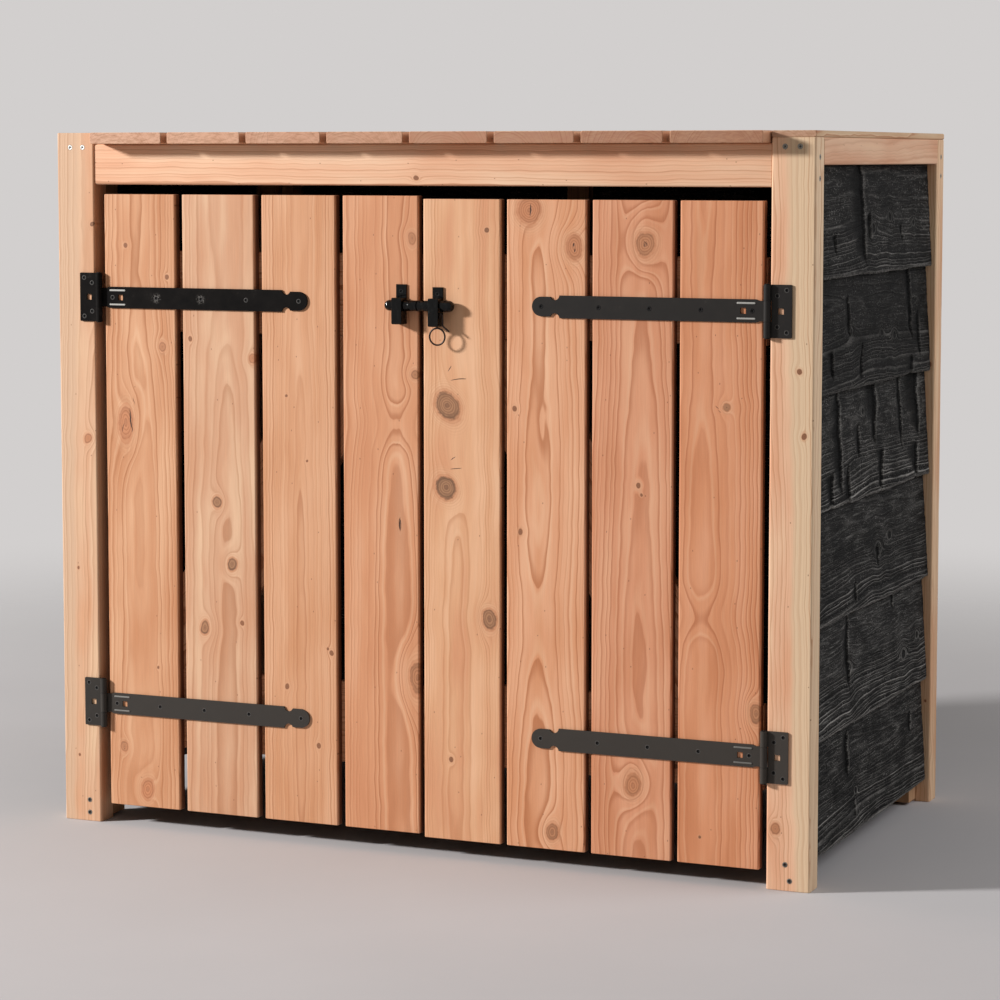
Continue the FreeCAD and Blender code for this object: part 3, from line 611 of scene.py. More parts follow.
def screw_heads(name):
    """Each screw of a CAD node as its head's middle, the way it is driven, and its head's radius."""
    heads = []
    for low, high, points in solids_of(name):
        size = high - low
        axis = max(range(3), key=lambda i: size[i])
        sides = [i for i in range(3) if i != axis]
        middle = (low + high) / 2
        radius = max(size[i] for i in sides) / 2
        rim = [p for p in points if Vector([p[i] - middle[i] for i in sides]).length > radius * 0.97]
        level = sum(p[axis] for p in rim) / len(rim)
        top = high[axis] if abs(high[axis] - level) < abs(low[axis] - level) else low[axis]
        head = middle.copy()
        head[axis] = top
        drive = Vector((0, 0, 0))
        drive[axis] = math.copysign(1.0, middle[axis] - top)
        heads.append((head, drive, radius))
    return heads


# Sides of a countersunk seat
SEAT_SIDES = 20


def countersink(piece, low, high, heads):
    """Cuts a countersunk seat in a timber for each screw head that lies in one of its faces."""
    inside = [(head, drive, radius) for head, drive, radius in heads
              if all(low[i] - 0.0005 < head[i] < high[i] + 0.0005 for i in range(3))
              and all(low[i] < (head + drive * 0.004)[i] < high[i] for i in range(3))]
    if not inside:
        return
    cutter = bmesh.new()
    for head, drive, radius in inside:
        place = Matrix.Translation(head) @ UP.rotation_difference(drive).to_matrix().to_4x4()
        profile = ((radius + 0.0004, -0.001), (radius + 0.0003, 0.0004), (0.0028, 0.0034), (0.0028, 0.008))
        skin(cutter, [[cutter.verts.new(place @ Vector((r * math.cos(angle), r * math.sin(angle), z)))
                       for angle in (k * math.tau / SEAT_SIDES for k in range(SEAT_SIDES))]
                      for r, z in profile])
    bmesh.ops.recalc_face_normals(cutter, faces=cutter.faces)
    data = bpy.data.meshes.new("countersinks")
    cutter.to_mesh(data)
    cutter.free()
    tool = bpy.data.objects.new("countersinks", data)
    bpy.context.scene.collection.objects.link(tool)
    cut = piece.modifiers.new("countersinks", "BOOLEAN")
    cut.operation = "DIFFERENCE"
    cut.solver = "EXACT"
    cut.object = tool
    graph = bpy.context.evaluated_depsgraph_get()
    seated = bpy.data.meshes.new_from_object(piece.evaluated_get(graph))
    piece.modifiers.clear()
    old = piece.data
    piece.data = seated
    bpy.data.meshes.remove(old)
    bpy.data.objects.remove(tool)


def flat_faces(piece):
    """Keeps wide faces flat in the light, and lets only the arrises turn."""
    weighted = piece.modifiers.new("flat_faces", "WEIGHTED_NORMAL")
    weighted.weight = 80
    weighted.keep_sharp = True


def timber_piece(node_name, grain, settings, body, radius=0.003, wear=0.6, step=0.03, heads=()):
    """A timber that stands for a CAD node, one or more bars in one piece. Wear is in mm, radius and the step
    between its sections in metres, and heads are the screws that may be sunk in it."""
    mesh = bmesh.new()
    solids = solids_of(node_name)
    for k, (low, high, _) in enumerate(solids):
        timber_mesh(mesh, low, high, grain, radius, wear * MM, step, grain.seed * 3.7 + k * 5.1)
    piece = object_from(node_name + "_timber", mesh, planed_fir(node_name + "_planed_fir", grain, settings),
                        body)
    for low, high, _ in solids:
        countersink(piece, low, high, heads)
    flat_faces(piece)
    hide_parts(node_name)
    return piece


def face_middle(name, side):
    """The middle of a CAD node's face that looks along side."""
    low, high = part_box(name)
    middle = (low + high) / 2
    for i in range(3):
        if side[i] > 0:
            middle[i] = high[i]
        if side[i] < 0:
            middle[i] = low[i]
    return middle


# Sizes and colours that a user would change

class TimberSettings(bpy.types.PropertyGroup):
    grain_contrast: bpy.props.FloatProperty(
        name="Grain contrast", description="How strongly the latewood lines show", default=1.0, min=0.0,
        max=2.0, subtype="FACTOR")
    arris_radius: bpy.props.FloatProperty(
        name="Arris radius", description="Rounding of the boards' arrises", default=0.003, min=0.001,
        max=0.006, unit="LENGTH")
    post_arris_radius: bpy.props.FloatProperty(
        name="Post arris radius", description="Rounding of the posts' arrises", default=0.004, min=0.001,
        max=0.008, unit="LENGTH")


class CladdingSettings(bpy.types.PropertyGroup):
    stain: bpy.props.FloatVectorProperty(
        name="Stain", description="Colour of the black stain", size=4, subtype="COLOR", min=0.0, max=1.0,
        default=linear("#242322"))
    raised_grain: bpy.props.FloatVectorProperty(
        name="Raised grain", description="Colour of the raised grain, where the stain wears off", size=4,
        subtype="COLOR", min=0.0, max=1.0, default=linear("#8d8a86"))
    saw_depth: bpy.props.FloatProperty(
        name="Saw depth", description="Depth of the rough-sawn relief", default=0.0014, min=0.0, max=0.003,
        unit="LENGTH")


class SteelSettings(bpy.types.PropertyGroup):
    powder_coat: bpy.props.FloatVectorProperty(
        name="Powder coat", description="Colour of the hinges' coat", size=4, subtype="COLOR", min=0.0,
        max=1.0, default=linear("#151414"))
    enamel: bpy.props.FloatVectorProperty(
        name="Enamel", description="Colour of the latch's enamel", size=4, subtype="COLOR", min=0.0, max=1.0,
        default=linear("#070707"))


class StageSettings(bpy.types.PropertyGroup):
    floor: bpy.props.FloatVectorProperty(
        name="Floor", description="Colour of the floor", size=4, subtype="COLOR", min=0.0, max=1.0,
        default=linear("#bfbcbd"))
    background: bpy.props.FloatVectorProperty(
        name="Background", description="Colour of the background", size=4, subtype="COLOR", min=0.0, max=1.0,
        default=linear("#d2cfce"))
    key_power: bpy.props.FloatProperty(
        name="Key light", description="Power of the light from the front left", default=735.0, unit="POWER")
    fill_power: bpy.props.FloatProperty(
        name="Fill light", description="Power of the light from the right", default=62.0, unit="POWER")
    ambient: bpy.props.FloatProperty(
        name="Ambient", description="Strength of the light from all round", default=0.23, min=0.0, max=2.0,
        subtype="FACTOR")
    lens: bpy.props.FloatProperty(
        name="Lens", description="Focal length on a 36 mm sensor", default=106.76, unit="CAMERA")


# Operators

# The middle of what the lamps light, and the camera's place, in metres, with its turn from +Y and its dip
LIT_POINT = Vector((-0.05, -0.38, 0.85))
CAMERA_PLACE = (2.127, -4.986, 1.206)
CAMERA_YAW = math.radians(23.175)
CAMERA_DIP = math.radians(5.057)
CAMERA_SHIFT = -0.08


class BINSTORE_OT_stage(bpy.types.Operator):
    """Add the floor, the lights, the background and the camera"""
    bl_idname = "binstore.stage"
    bl_label = "Add stage"

    def execute(self, context):
        stage = context.scene.bin_store_stage
        mesh = bmesh.new()
        bmesh.ops.create_circle(mesh, cap_ends=True, radius=14.0, segments=96)
        data = bpy.data.meshes.new("floor")
        mesh.to_mesh(data)
        mesh.free()
        floor = bpy.data.objects.new("floor", data)
        context.scene.collection.objects.link(floor)
        data.materials.append(pale_concrete(stage))

        # The background shows to the camera and in gloss and glass, and a weaker warm white lights the store
        world = bpy.data.worlds.new("studio")
        context.scene.world = world
        world.use_nodes = True
        tree = world.node_tree
        tree.nodes.clear()
        rays = node(tree, "ShaderNodeLightPath").outputs
        seen = node(tree, MATH, {0: rays["Is Camera Ray"], 1: rays["Is Glossy Ray"]}, operation="MAXIMUM")
        seen = node(tree, MATH, {0: seen, 1: rays["Is Transmission Ray"]}, operation="MAXIMUM")
        ambient = node(tree, "ShaderNodeBackground", {"Color": "#f9f3ea", "Strength": stage.ambient})
        behind = node(tree, "ShaderNodeBackground", {"Color": stage.background, "Strength": 1.0})
        both = node(tree, "ShaderNodeMixShader", {0: seen, 1: ambient, 2: behind})
        node(tree, "ShaderNodeOutputWorld", {"Surface": both})

        for name, towards, distance, size, power, colour in (
                ("key_light", (-1.65, -1.0, 0.68), 7.0, 0.8, stage.key_power, "#fffefd"),
                ("fill_light", (1.0, 0.25, 0.5), 4.0, 2.5, stage.fill_power, "#f6f8fc")):
            lamp = bpy.data.lights.new(name, "AREA")
            lamp.shape = "DISK"
            lamp.size = size
            lamp.energy = power
            lamp.color = linear(colour)[:3]
            holder = bpy.data.objects.new(name, lamp)
            context.scene.collection.objects.link(holder)
            away = Vector(towards).normalized()
            holder.location = LIT_POINT + away * distance
            holder.rotation_mode = "QUATERNION"
            holder.rotation_quaternion = away.to_track_quat("Z", "Y")

        camera = bpy.data.objects.new("camera", bpy.data.cameras.new("camera"))
        context.scene.collection.objects.link(camera)
        camera.data.sensor_width = 36.0
        camera.data.lens = stage.lens
        camera.data.shift_y = CAMERA_SHIFT
        ahead = Vector((-math.sin(CAMERA_YAW) * math.cos(CAMERA_DIP),
                        math.cos(CAMERA_YAW) * math.cos(CAMERA_DIP), -math.sin(CAMERA_DIP)))
        camera.location = CAMERA_PLACE
        camera.rotation_mode = "QUATERNION"
        camera.rotation_quaternion = ahead.to_track_quat("-Z", "Y")
        context.scene.camera = camera
        context.scene.view_settings.view_transform = "Standard"
        return {"FINISHED"}


def pale_concrete(stage):
    """Pale trowelled concrete: light grey with soft cloudy patches and fine grit, quite matt. It fades out
    between 1.2 and 4.2 m from the store, so that no edge of the floor shows."""
    material, tree = new_material("pale_trowelled_concrete")
    place = node(tree, PLACE).outputs["Object"]
    cloud = node(tree, NOISE, {"Vector": place, "Scale": 1 / (625 * MM), "Detail": 4.0, "Roughness": 0.55})
    grit = node(tree, NOISE, {"Vector": place, "Scale": 1 / (3.846 * MM), "Detail": 2.0})
    mottle = node(tree, MATH, {0: grit, 1: 0.25, 2: cloud}, operation="MULTIPLY_ADD")
    light = node(tree, RANGE, {0: mottle, 1: 0.35, 2: 0.9, 3: 0.97, 4: 1.03})
    colour = node(tree, VECTOR, {0: stage.floor[:3], "Scale": light}, operation="SCALE")
    bump = node(tree, BUMP, {"Height": mottle, "Strength": 0.2, "Distance": MM})
    surface = node(tree, SURFACE, {
        "Base Color": colour, "Roughness": 1.0, "Normal": bump, "Specular IOR Level": 0.0})
    far = node(tree, VECTOR, {0: place}, operation="LENGTH")
    fade = node(tree, RANGE, {0: far, 1: 1.2, 2: 4.2}, **SMOOTH)
    clear = node(tree, "ShaderNodeBsdfTransparent")
    return finish_material(material, tree, node(tree, "ShaderNodeMixShader", {0: fade, 1: surface, 2: clear}))


def seeded_knots(seed, half_width, low, high, count):
    """A few knots at seeded places on a board that the photograph doesn't show."""
    source = random.Random(seed)
    kinds = (PIN, SMALL, SMALL, MIDDLE, LARGE)
    return [(source.uniform(-half_width, half_width), source.uniform(low, high), source.choice(kinds),
             source.uniform(0.1, 0.9)) for _ in range(count)]


POST_LOOKS = {
    "front_post_left": dict(
        face="#d5a988", line="#a87754", pale="#dcb996", deep="#cd926b", ring=5.5, pith=(46.0, 60.0),
        contrast=0.5, sap=86.0, sapwood="#ceaa8c", seed=11.0,
        knots=[(19, 703, MIDDLE, 0.3), (-3, 466, PIN, 0.7), (-6, 122, PIN, 0.9), (34, 1088, SMALL, 0.9)],
        ovals=[(30, 1050, 9.0, 8.0, 7.0)]),
    "front_post_right": dict(
        face="#e9b896", line="#b3774f", pale="#f2cdaa", deep="#dfa17c", ring=5.6, pith=(-52.0, 55.0),
        contrast=0.5, sap=84.0, seed=23.0,
        knots=[(12, 857, SMALL, 0.6), (21, 754, SMALL, 0.6), (-22, 105, MIDDLE, 0.35)]),
}


class BINSTORE_OT_posts(bpy.types.Operator):
    """Add the four planed posts"""
    bl_idname = "binstore.posts"
    bl_label = "Add posts"

    def execute(self, context):
        timber = context.scene.bin_store_timber
        heads = screw_heads("carcass_screws")
        for k, name in enumerate(("front_post_left", "front_post_right", "back_post_left",
                                  "back_post_right")):
            front = name.startswith("front")
            origin = face_middle(name, -BACK if front else BACK)
            origin.z = 0
            looks = POST_LOOKS.get(name) or dict(
                face="#ddb591", line="#ad784f", pale="#e8caa5", deep="#d29a72", ring=5.4, pith=(38.0, 60.0),
                contrast=0.65, knots=seeded_knots(40 + k, 30, 80, 1150, 5), seed=31.0 + 7 * k)
            grain = Grain(origin, RIGHT if front else -RIGHT, BACK if front else -BACK, **looks)
            timber_piece(name, grain, timber, "carcass", radius=timber.post_arris_radius,
                         heads=heads)
        return {"FINISHED"}


class BINSTORE_OT_rails(bpy.types.Operator):
    """Add the lintel, the back rail and the side rails"""
    bl_idname = "binstore.rails"
    bl_label = "Add rails"

    def execute(self, context):
        timber = context.scene.bin_store_timber
        looks = {
            "lintel": (-UP, BACK, timber.post_arris_radius, dict(
                face="#e6b694", line="#b27550", pale="#ebc6a6", deep="#daa17e", ring=4.6, pith=(60.0, 36.0),
                taper=0.004, wander=12.0, contrast=0.45, seed=5.0,
                knots=[(22, -3, SMALL, 0.5)])),
            "back_top_rail": (-UP, -BACK, timber.arris_radius, dict(
                face="#dcae88", line="#ab7249", pale="#e6c39e", deep="#cf966d", pith=(20.0, 50.0), seed=15.0,
                knots=seeded_knots(3, 28, -500, 500, 5))),
            "left_top_rail": (-UP, RIGHT, timber.arris_radius, dict(
                face="#d6a681", line="#a36c47", pale="#e0bb97", deep="#c98f69", pith=(10.0, 58.0), seed=25.0,
                knots=seeded_knots(5, 18, -250, 250, 3))),
            "right_top_rail": (-UP, -RIGHT, timber.arris_radius, dict(
                face="#d7a787", line="#a66f4c", pale="#e1ba9a", deep="#cc926f", ring=5.0, pith=(-30.0, 40.0),
                contrast=0.35, seed=35.0)),
        }
        for name, (across, through, radius, look) in looks.items():
            origin = face_middle(name, -through)
            grain = Grain(origin, across, through, **look)
            timber_piece(name, grain, timber, "carcass", radius=radius)
        return {"FINISHED"}


class BINSTORE_OT_battens(bpy.types.Operator):
    """Add the sawn battens behind the cladding"""
    bl_idname = "binstore.battens"
    bl_label = "Add battens"

    def execute(self, context):
        timber = context.scene.bin_store_timber
        for k, name in enumerate(("left_battens", "right_battens", "back_battens")):
            low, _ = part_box(name)
            grain = Grain((low.x, low.y, 0), RIGHT, BACK, face="#b98f6b", line="#835737", pale="#c7a27e",
                          deep="#a67d5a", ring=4.5, pith=(30.0, 90.0), contrast=0.6, seed=45.0 + k)
            timber_piece(name, grain, timber, "carcass", radius=0.0012, wear=0.9, step=0.04)
        return {"FINISHED"}


# The roof boards from left to right: colours of their faces, and of their sawn ends, which darken towards
# the right with painted shade
ROOF_FACES = ("#d7a280", "#dba885", "#d39b78", "#d9a581", "#cf9570", "#dba986", "#d49d79", "#d9a784")
ROOF_ENDS = ("#c99d84", "#c89a80", "#c2947b", "#bb8c73", "#a8765e", "#9b6953", "#93614b", "#8d5c45")


class BINSTORE_OT_roof(bpy.types.Operator):
    """Add the roof boards and the cover strips"""
    bl_idname = "binstore.roof"
    bl_label = "Add roof"

    def execute(self, context):
        timber = context.scene.bin_store_timber
        heads = screw_heads("carcass_screws")
        names = [f"roof_board_{i}" for i in range(1, 9)] + ["left_cover_strip", "right_cover_strip"]
        for k, name in enumerate(names):
            origin = face_middle(name, UP)
            source = random.Random(700 + k)
            look = dict(line="#a66a44", ring=source.uniform(4.4, 6.2),
                        pith=(source.uniform(-50, 50), source.uniform(38, 60)),
                        taper=source.uniform(-0.014, 0.014), seed=60.0 + 9.3 * k)
            if k < 8:
                # The end colours hold painted shade, and the edge colour is painted shade in the gaps between
                # boards
                look.update(face=ROOF_FACES[k], pale="#e3b999", deep="#c88b66", end=ROOF_ENDS[k],
                            edge="#ac7c5f", knots=seeded_knots(80 + k, 62, -400, 400, 5))
            else:
                look.update(face="#c8a37f", pale="#d0b392", deep="#b78761")
            grain = Grain(origin, RIGHT, -UP, **look)
            timber_piece(name, grain, timber, "carcass", radius=timber.arris_radius,
                         heads=heads)
        return {"FINISHED"}


# The door boards from left to right, each with the knots, ovals and cracks that the real one shows, placed
# from the middle of its width and from the ground
DOOR_BOARDS = [
    ("left_door_board_1", "left_door", dict(
        face="#ce9670", line="#a5683f", pale="#dbaa85", deep="#c2855d", ring=6.0, pith=(-6.0, 50.0),
        taper=0.016, wander=18.0, contrast=0.6, seed=101.0,
        knots=[(-29, 1050, SMALL, 0.5), (55, 997, SMALL, 0.5), (44, 872, MIDDLE, 0.4),
               (-32, 731, (15.0, 1.9, 1.4, 16.0), 0.15), (29, 294, PIN, 0.9), (-43, 143, MIDDLE, 0.45),
               (5, 70, (12.5, 1.4, 1.2, 16.0), 0.12)],
        ovals=[(-6, 300, 13.0, 3.2, 9.0)],
        strokes=[(-21, 735, 24.0, 1.8, -0.12), (-38, 722, 9.0, 1.0, 0.25), (-14, 770, 8.0, 0.8, -0.3)])),
    ("left_door_board_2", "left_door", dict(
        face="#cf9f7e", line="#a9704b", pale="#ddb694", deep="#c8906c", ring=7.0, pith=(14.0, 62.0),
        taper=0.014, wander=14.0, contrast=0.5, seed=117.0,
        knots=[(-57, 887, SMALL, 0.6), (68, 857, MIDDLE, 0.3), (-5, 596, (8.5, 1.25, 1.7, 9.0), 0.9),
               (25, 489, (9.0, 1.25, 1.7, 12.0), 0.95), (-33, 372, (9.0, 1.2, 1.8, 12.0), 0.8),
               (43, 386, SMALL, 0.4)],
        ovals=[(3, 960, 12.0, 4.0, 5.0)])),
    ("left_door_board_3", "left_door", dict(
        face="#d49d77", line="#aa6b44", pale="#ddab87", deep="#c98d64", ring=3.9, pith=(2.0, 40.0),
        taper=0.005, wander=9.0, contrast=0.5, seed=131.0,
        knots=[(-24, 791, PIN, 0.9), (16, 678, PIN, 0.9), (61, 343, SMALL, 0.5), (54, 349, PIN, 0.6),
               (-26, 277, SMALL, 0.5), (35, 177, SMALL, 0.5)])),
    ("left_door_board_4", "left_door", dict(
        face="#d4966f", line="#a6643d", pale="#dda682", deep="#cb8a63", ring=8.0, pith=(32.0, 48.0),
        taper=0.012, wander=16.0, contrast=0.5, seed=149.0,
        knots=[(60, 1068, MIDDLE, 0.4), (66, 835, MIDDLE, 0.5), (36, 575, (2.2, 5.0, 1.5, 1.0), 0.9),
               (70, 309, (15.0, 1.9, 0.6, 34.0), 0.4)],
        ovals=[(35, 746, 45.0, 0.42, 10.7)],
        strokes=[(36, 575, 15.0, 1.6, 0.05)])),
    ("right_door_board_4", "right_door", dict(
        face="#dda77f", line="#b17147", pale="#e9b994", deep="#d2936d", ring=5.0, pith=(-8.0, 52.0),
        taper=0.010, wander=13.0, contrast=0.5, seed=163.0,
        knots=[(46, 1082, SMALL, 0.9), (-26, 783, (21.5, 1.2, 1.0, 12.0, 0.22), 0.85),
               (-30, 643, (18.5, 1.12, 1.0, 12.0, 0.2), 0.95), (51, 420, LARGE, 0.85),
               (-21, 173, SMALL, 0.6)],
        strokes=[(-22, 848, 5.0, 1.2, 0.7), (-6, 830, 1.6, 7.0, 9.0), (-11, 679, 1.4, 6.0, 8.0),
                 (-16, 695, 4.0, 1.2, 1.4)])),
    ("right_door_board_3", "right_door", dict(
        face="#dfa37d", line="#b26e45", pale="#e8b28d", deep="#d49268", ring=6.2, pith=(-12.0, 46.0),
        taper=0.012, wander=15.0, contrast=0.6, seed=181.0,
        knots=[(-31, 1117, (20.5, 1.15, 1.1, 10.0), 0.1), (50, 1057, (14.5, 1.2, 1.1, 24.0), 0.15),
               (-57, 785, SMALL, 0.5), (-46, 576, SMALL, 0.5), (13, 63, (11.0, 1.25, 1.4, 14.0), 0.5)],
        ovals=[(-10, 742, 6.0, 6.0, 5.0), (-6, 412, 45.0, 1.5, 13.0)],
        strokes=[(-29, 1117, 13.0, 1.5, 0.1), (50, 1060, 3.0, 1.6, 0.0), (52, 1053, 3.0, 1.4, 0.0)])),
    ("right_door_board_2", "right_door", dict(
        face="#d89773", line="#aa643e", pale="#e1a783", deep="#cb8760", ring=7.0, pith=(15.0, 48.5),
        taper=0.016, wander=16.0, contrast=0.62, seed=197.0,
        knots=[(22, 1064, (16.0, 1.2, 0.25, 12.0), 0.35), (12, 661, SMALL, 0.5), (17, 646, PIN, 0.5),
               (4, 155, (14.0, 1.3, 0.3, 14.0), 0.2)],
        ovals=[(22, 1074, 13.0, 2.2, 22.0), (6, 165, 13.0, 2.0, 20.0)],
        strokes=[(23, 1065, 7.0, 0.9, -0.7), (21, 1062, 4.0, 0.8, 0.1)])),
    ("right_door_board_1", "right_door", dict(
        face="#d8946c", line="#a75e37", pale="#e0a17d", deep="#c98259", ring=7.5, pith=(-30.0, 50.0),
        taper=0.010, wander=16.0, contrast=0.6, seed=211.0,
        knots=[(10, 797, (6.5, 1.1, 1.8, 12.0), 0.75), (66, 291, (11.0, 1.3, 1.4, 16.0), 0.5),
               (-32, 78, PIN, 0.8)],
        ovals=[(-28, 446, 42.0, 0.5, 11.0)],
        strokes=[(-6, 797, 4.0, 0.9, -0.8), (-2, 789, 3.0, 0.8, -1.0)])),
]


class BINSTORE_OT_door_boards(bpy.types.Operator):
    """Add the eight upright boards of the doors"""
    bl_idname = "binstore.door_boards"
    bl_label = "Add door boards"

    def execute(self, context):
        timber = context.scene.bin_store_timber
        for name, body, look in DOOR_BOARDS:
            origin = face_middle(name, -BACK)
            origin.z = 0
            # The narrow sides are painted dark brown as shade in the gaps between the boards
            grain = Grain(origin, RIGHT, BACK, edge="#4a2413", **look)
            timber_piece(name, grain, timber, body, radius=timber.arris_radius)
        return {"FINISHED"}


class BINSTORE_OT_door_ledges(bpy.types.Operator):
    """Add the ledges and braces behind the doors"""
    bl_idname = "binstore.door_ledges"
    bl_label = "Add ledges and braces"

    def execute(self, context):
        timber = context.scene.bin_store_timber
        for k, door in enumerate(("left_door", "right_door")):
            heads = screw_heads(f"{door}_screws")
            for j, height in enumerate(("lower", "upper")):
                name = f"{door}_{height}_ledge"
                origin = face_middle(name, BACK)
                grain = Grain(origin, -UP, -BACK, face="#d59e78", line="#a76c45", pale="#deb08c",
                              deep="#c88c66", ring=5.4, pith=(8.0 - 20 * j, 44.0), taper=0.01,
                              seed=230.0 + 13 * k + 7 * j,
                              knots=seeded_knots(150 + 2 * k + j, 60, -290, 290, 5))
                timber_piece(name, grain, timber, door, radius=timber.arris_radius,
                             heads=heads)
            name = f"{door}_brace"
            origin = face_middle(name, BACK)
            low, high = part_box(name)
            run = Vector((high.x - low.x - 0.17, 0, high.z - low.z))
            if door == "right_door":
                run.x = -run.x
            across = run.normalized().cross(BACK)
            grain = Grain(origin, across, -BACK, face="#d7a07a", line="#a76c45", pale="#dfb18e",
                          deep="#c98d67", pith=(-14.0, 46.0), seed=260.0 + 17 * k,
                          knots=seeded_knots(170 + k, 50, -280, 280, 4))
            brace = NODES[name]
            brace.data.materials.clear()
            brace.data.materials.append(planed_fir(name + "_planed_fir", grain, timber))
        return {"FINISHED"}


# Cladding: feather-edged boards, rough from the saw, with shallow hollows where knots tore out

def section_of(low, high, points, outward):
    """A lapped board's section: outer and inner distance at its lower and upper edge, and its two heights."""
    def reach(level):
        along = [p.dot(outward) for p in points if abs(p.z - level) < 0.0005]
        return max(along), min(along)
    return reach(low.z), reach(high.z), low.z, high.z


def hollow_at(along, height, hollows):
    """How deep the hollows of a board are at a point, and how far it is up the rim beside one, which is
    painted
    lighter as a highlight. Each is (along, from, to, half width, depth, taper): it falls softly towards its
    middle and rises sharply beyond it. Taper 1 comes to a point at its lower end, -1 at its upper end."""
    deepest = rim = 0.0
    for centre, start, end, width, depth, taper in hollows:
        share = (height - start) / (end - start)
        if not 0 < share < 1:
            continue
        wander = 0.014 * noise.noise(Vector((height * 16, centre * 10, 3.0)))
        wander += 0.004 * noise.noise(Vector((height * 60, centre * 10, 8.0)))
        narrow = (share if taper > 0 else 1 - share) if taper else 4 * share * (1 - share)
        wide = width * (0.2 + 0.8 * narrow) * (1 + 0.5 * noise.noise(Vector((height * 45, centre * 20, 5.0))))
        offset = along - centre - wander
        offset = abs(offset) / (wide * (5.5 if offset < 0 else 0.6))
        ends = min(1.0, 7 * share, 7 * (1 - share))
        if offset < 1:
            deepest = max(deepest, (1 - offset) ** 1.2 * ends * depth)
        elif along > centre and offset < 3:
            rim = max(rim, (3 - offset) / 2 * ends)
    return deepest, rim


def lapped_board(mesh, dark, worn, solid, outward, run, settings, hollows, step, seed):
    """Adds one feather-edged board: sawn relief, grain ridges and hollows go in from its true face, and its
    lower edge is ragged."""
    low, high, points = solid
    (face_low, back_low), (face_high, back_high), bottom, top = section_of(low, high, points, outward)
    start, end = sorted((low.dot(run), high.dot(run)))
    rows = max(2, round((top - bottom) / step))
    columns = round((end - start) / step)
    section = [(0.0, t / rows) for t in range(rows + 1)] + [(1.0, 1.0), (1.0, 0.0), (0.66, 0.0), (0.33, 0.0)]
    here = [(centre + (start + end) / 2, bottom + a, bottom + b, width, depth, taper)
            for centre, a, b, width, depth, taper in hollows]
    rings = []
    for c in range(columns + 1):
        along = start + (end - start) * c / columns

        # The lower edge wanders by up to 4.5 mm, has nicks of up to 2.2 mm, and rises where hollows reach it
        ragged = 0.5 + 0.5 * noise.noise(Vector((along * 9, seed, 1.0)))
        ragged = 0.0045 * ragged ** 1.5 + 0.0022 * max(0.0, noise.noise(Vector((along * 70, seed, 2.0))))
        notch = hollow_at(along, bottom + 0.012, here)[0]
        ring = []
        for inward, rise in section:
            height = bottom + (top - bottom) * rise
            above = rise * (top - bottom)
            outer = face_low + (face_high - face_low) * rise
            inner = back_low + (back_high - back_low) * rise
            depth = 0.0
            hollow, rim = hollow_at(along, height, here)

            # The face has waves up to 1.6 mm deep, grain ridges and hollows, together at most 5.2 mm deep
            if inward < 0.5:
                bent = height + 0.010 * noise.noise(Vector((along * 6, height * 5, seed + 4)))
                wave = 0.5 + 0.5 * noise.noise(Vector((along * 6, height * 18, seed)))
                ridge = abs(noise.noise(Vector((along * 3, bent * 110, seed + 9))))
                depth = min(0.0016 * wave + settings.saw_depth * ridge + hollow, 0.0052)

            # The ragged edge fades out over the lowest 30 mm, and its arris is eased over the lowest 3 mm
            lift = (ragged + 0.8 * notch) * max(0.0, 1 - above / 0.03)
            edge = max(0.0, 1 - above / 0.003) * 0.0012 if inward < 0.2 else 0.0
            across = outer + (inner - outer) * inward - (depth + edge) * (1 - inward)
            vertex = mesh.verts.new(run * along + outward * across + UP * (height + lift))
            # Painted shade: the hollow layer darkens a hollow towards its deepest part. The second layer
            # lightens the worn lowest 6 mm, and the rims beside hollows as a painted highlight
            vertex[dark] = min(1.0, hollow / 0.0026) ** 0.8 if inward < 0.9 else 0.0
            vertex[worn] = max(0.55 * rim, 1 - above / 0.006) if inward < 0.9 else 0.0
            ring.append(vertex)
        rings.append(ring)
    skin(mesh, rings)


def seeded_cladding_knots(tree, across, along, shift):
    """Knots at seeded places, about one in 120 by 260 mm, for the sides that the photograph doesn't show."""
    cell_u = node(tree, MATH, {0: across, 1: 1 / 120, 2: shift}, operation="MULTIPLY_ADD")
    cell_w = node(tree, MATH, {0: along, 1: 1 / 260, 2: shift}, operation="MULTIPLY_ADD")
    cells = node(tree, "ShaderNodeTexVoronoi", {
        "Vector": node(tree, JOIN, {0: cell_u, 1: cell_w}), "Scale": 1.0, "Randomness": 0.9},
        voronoi_dimensions="2D").outputs
    spot = node(tree, SPLIT, {0: cells["Position"]}).outputs
    knot_u = node(tree, MATH, {0: spot[0], 1: shift}, operation="SUBTRACT")
    knot_u = node(tree, MATH, {0: knot_u, 1: 120.0}, operation="MULTIPLY")
    knot_w = node(tree, MATH, {0: spot[1], 1: shift}, operation="SUBTRACT")
    knot_w = node(tree, MATH, {0: knot_w, 1: 260.0}, operation="MULTIPLY")
    chance = node(tree, PARTS, {0: cells["Color"]}).outputs
    shown = node(tree, MATH, {0: chance[0], 1: 0.4}, operation="GREATER_THAN")
    radius = node(tree, RANGE, {0: chance[1], 3: 6.0, 4: 12.0})
    return node(tree, GROUP, {
        "Across": across, "Along": along, "Bend": across, "Swell": 0.0, "Distance": FAR_OFF, "Darkness": 0.0,
        "Size": 5.0, "Knot Across": knot_u, "Knot Along": knot_w, "Radius": radius, "Stretch": 1.5,
        "Push": 2.4, "Raise": 14.0, "Shade": 1.0, "Core": shown}, node_tree=KNOT).outputs


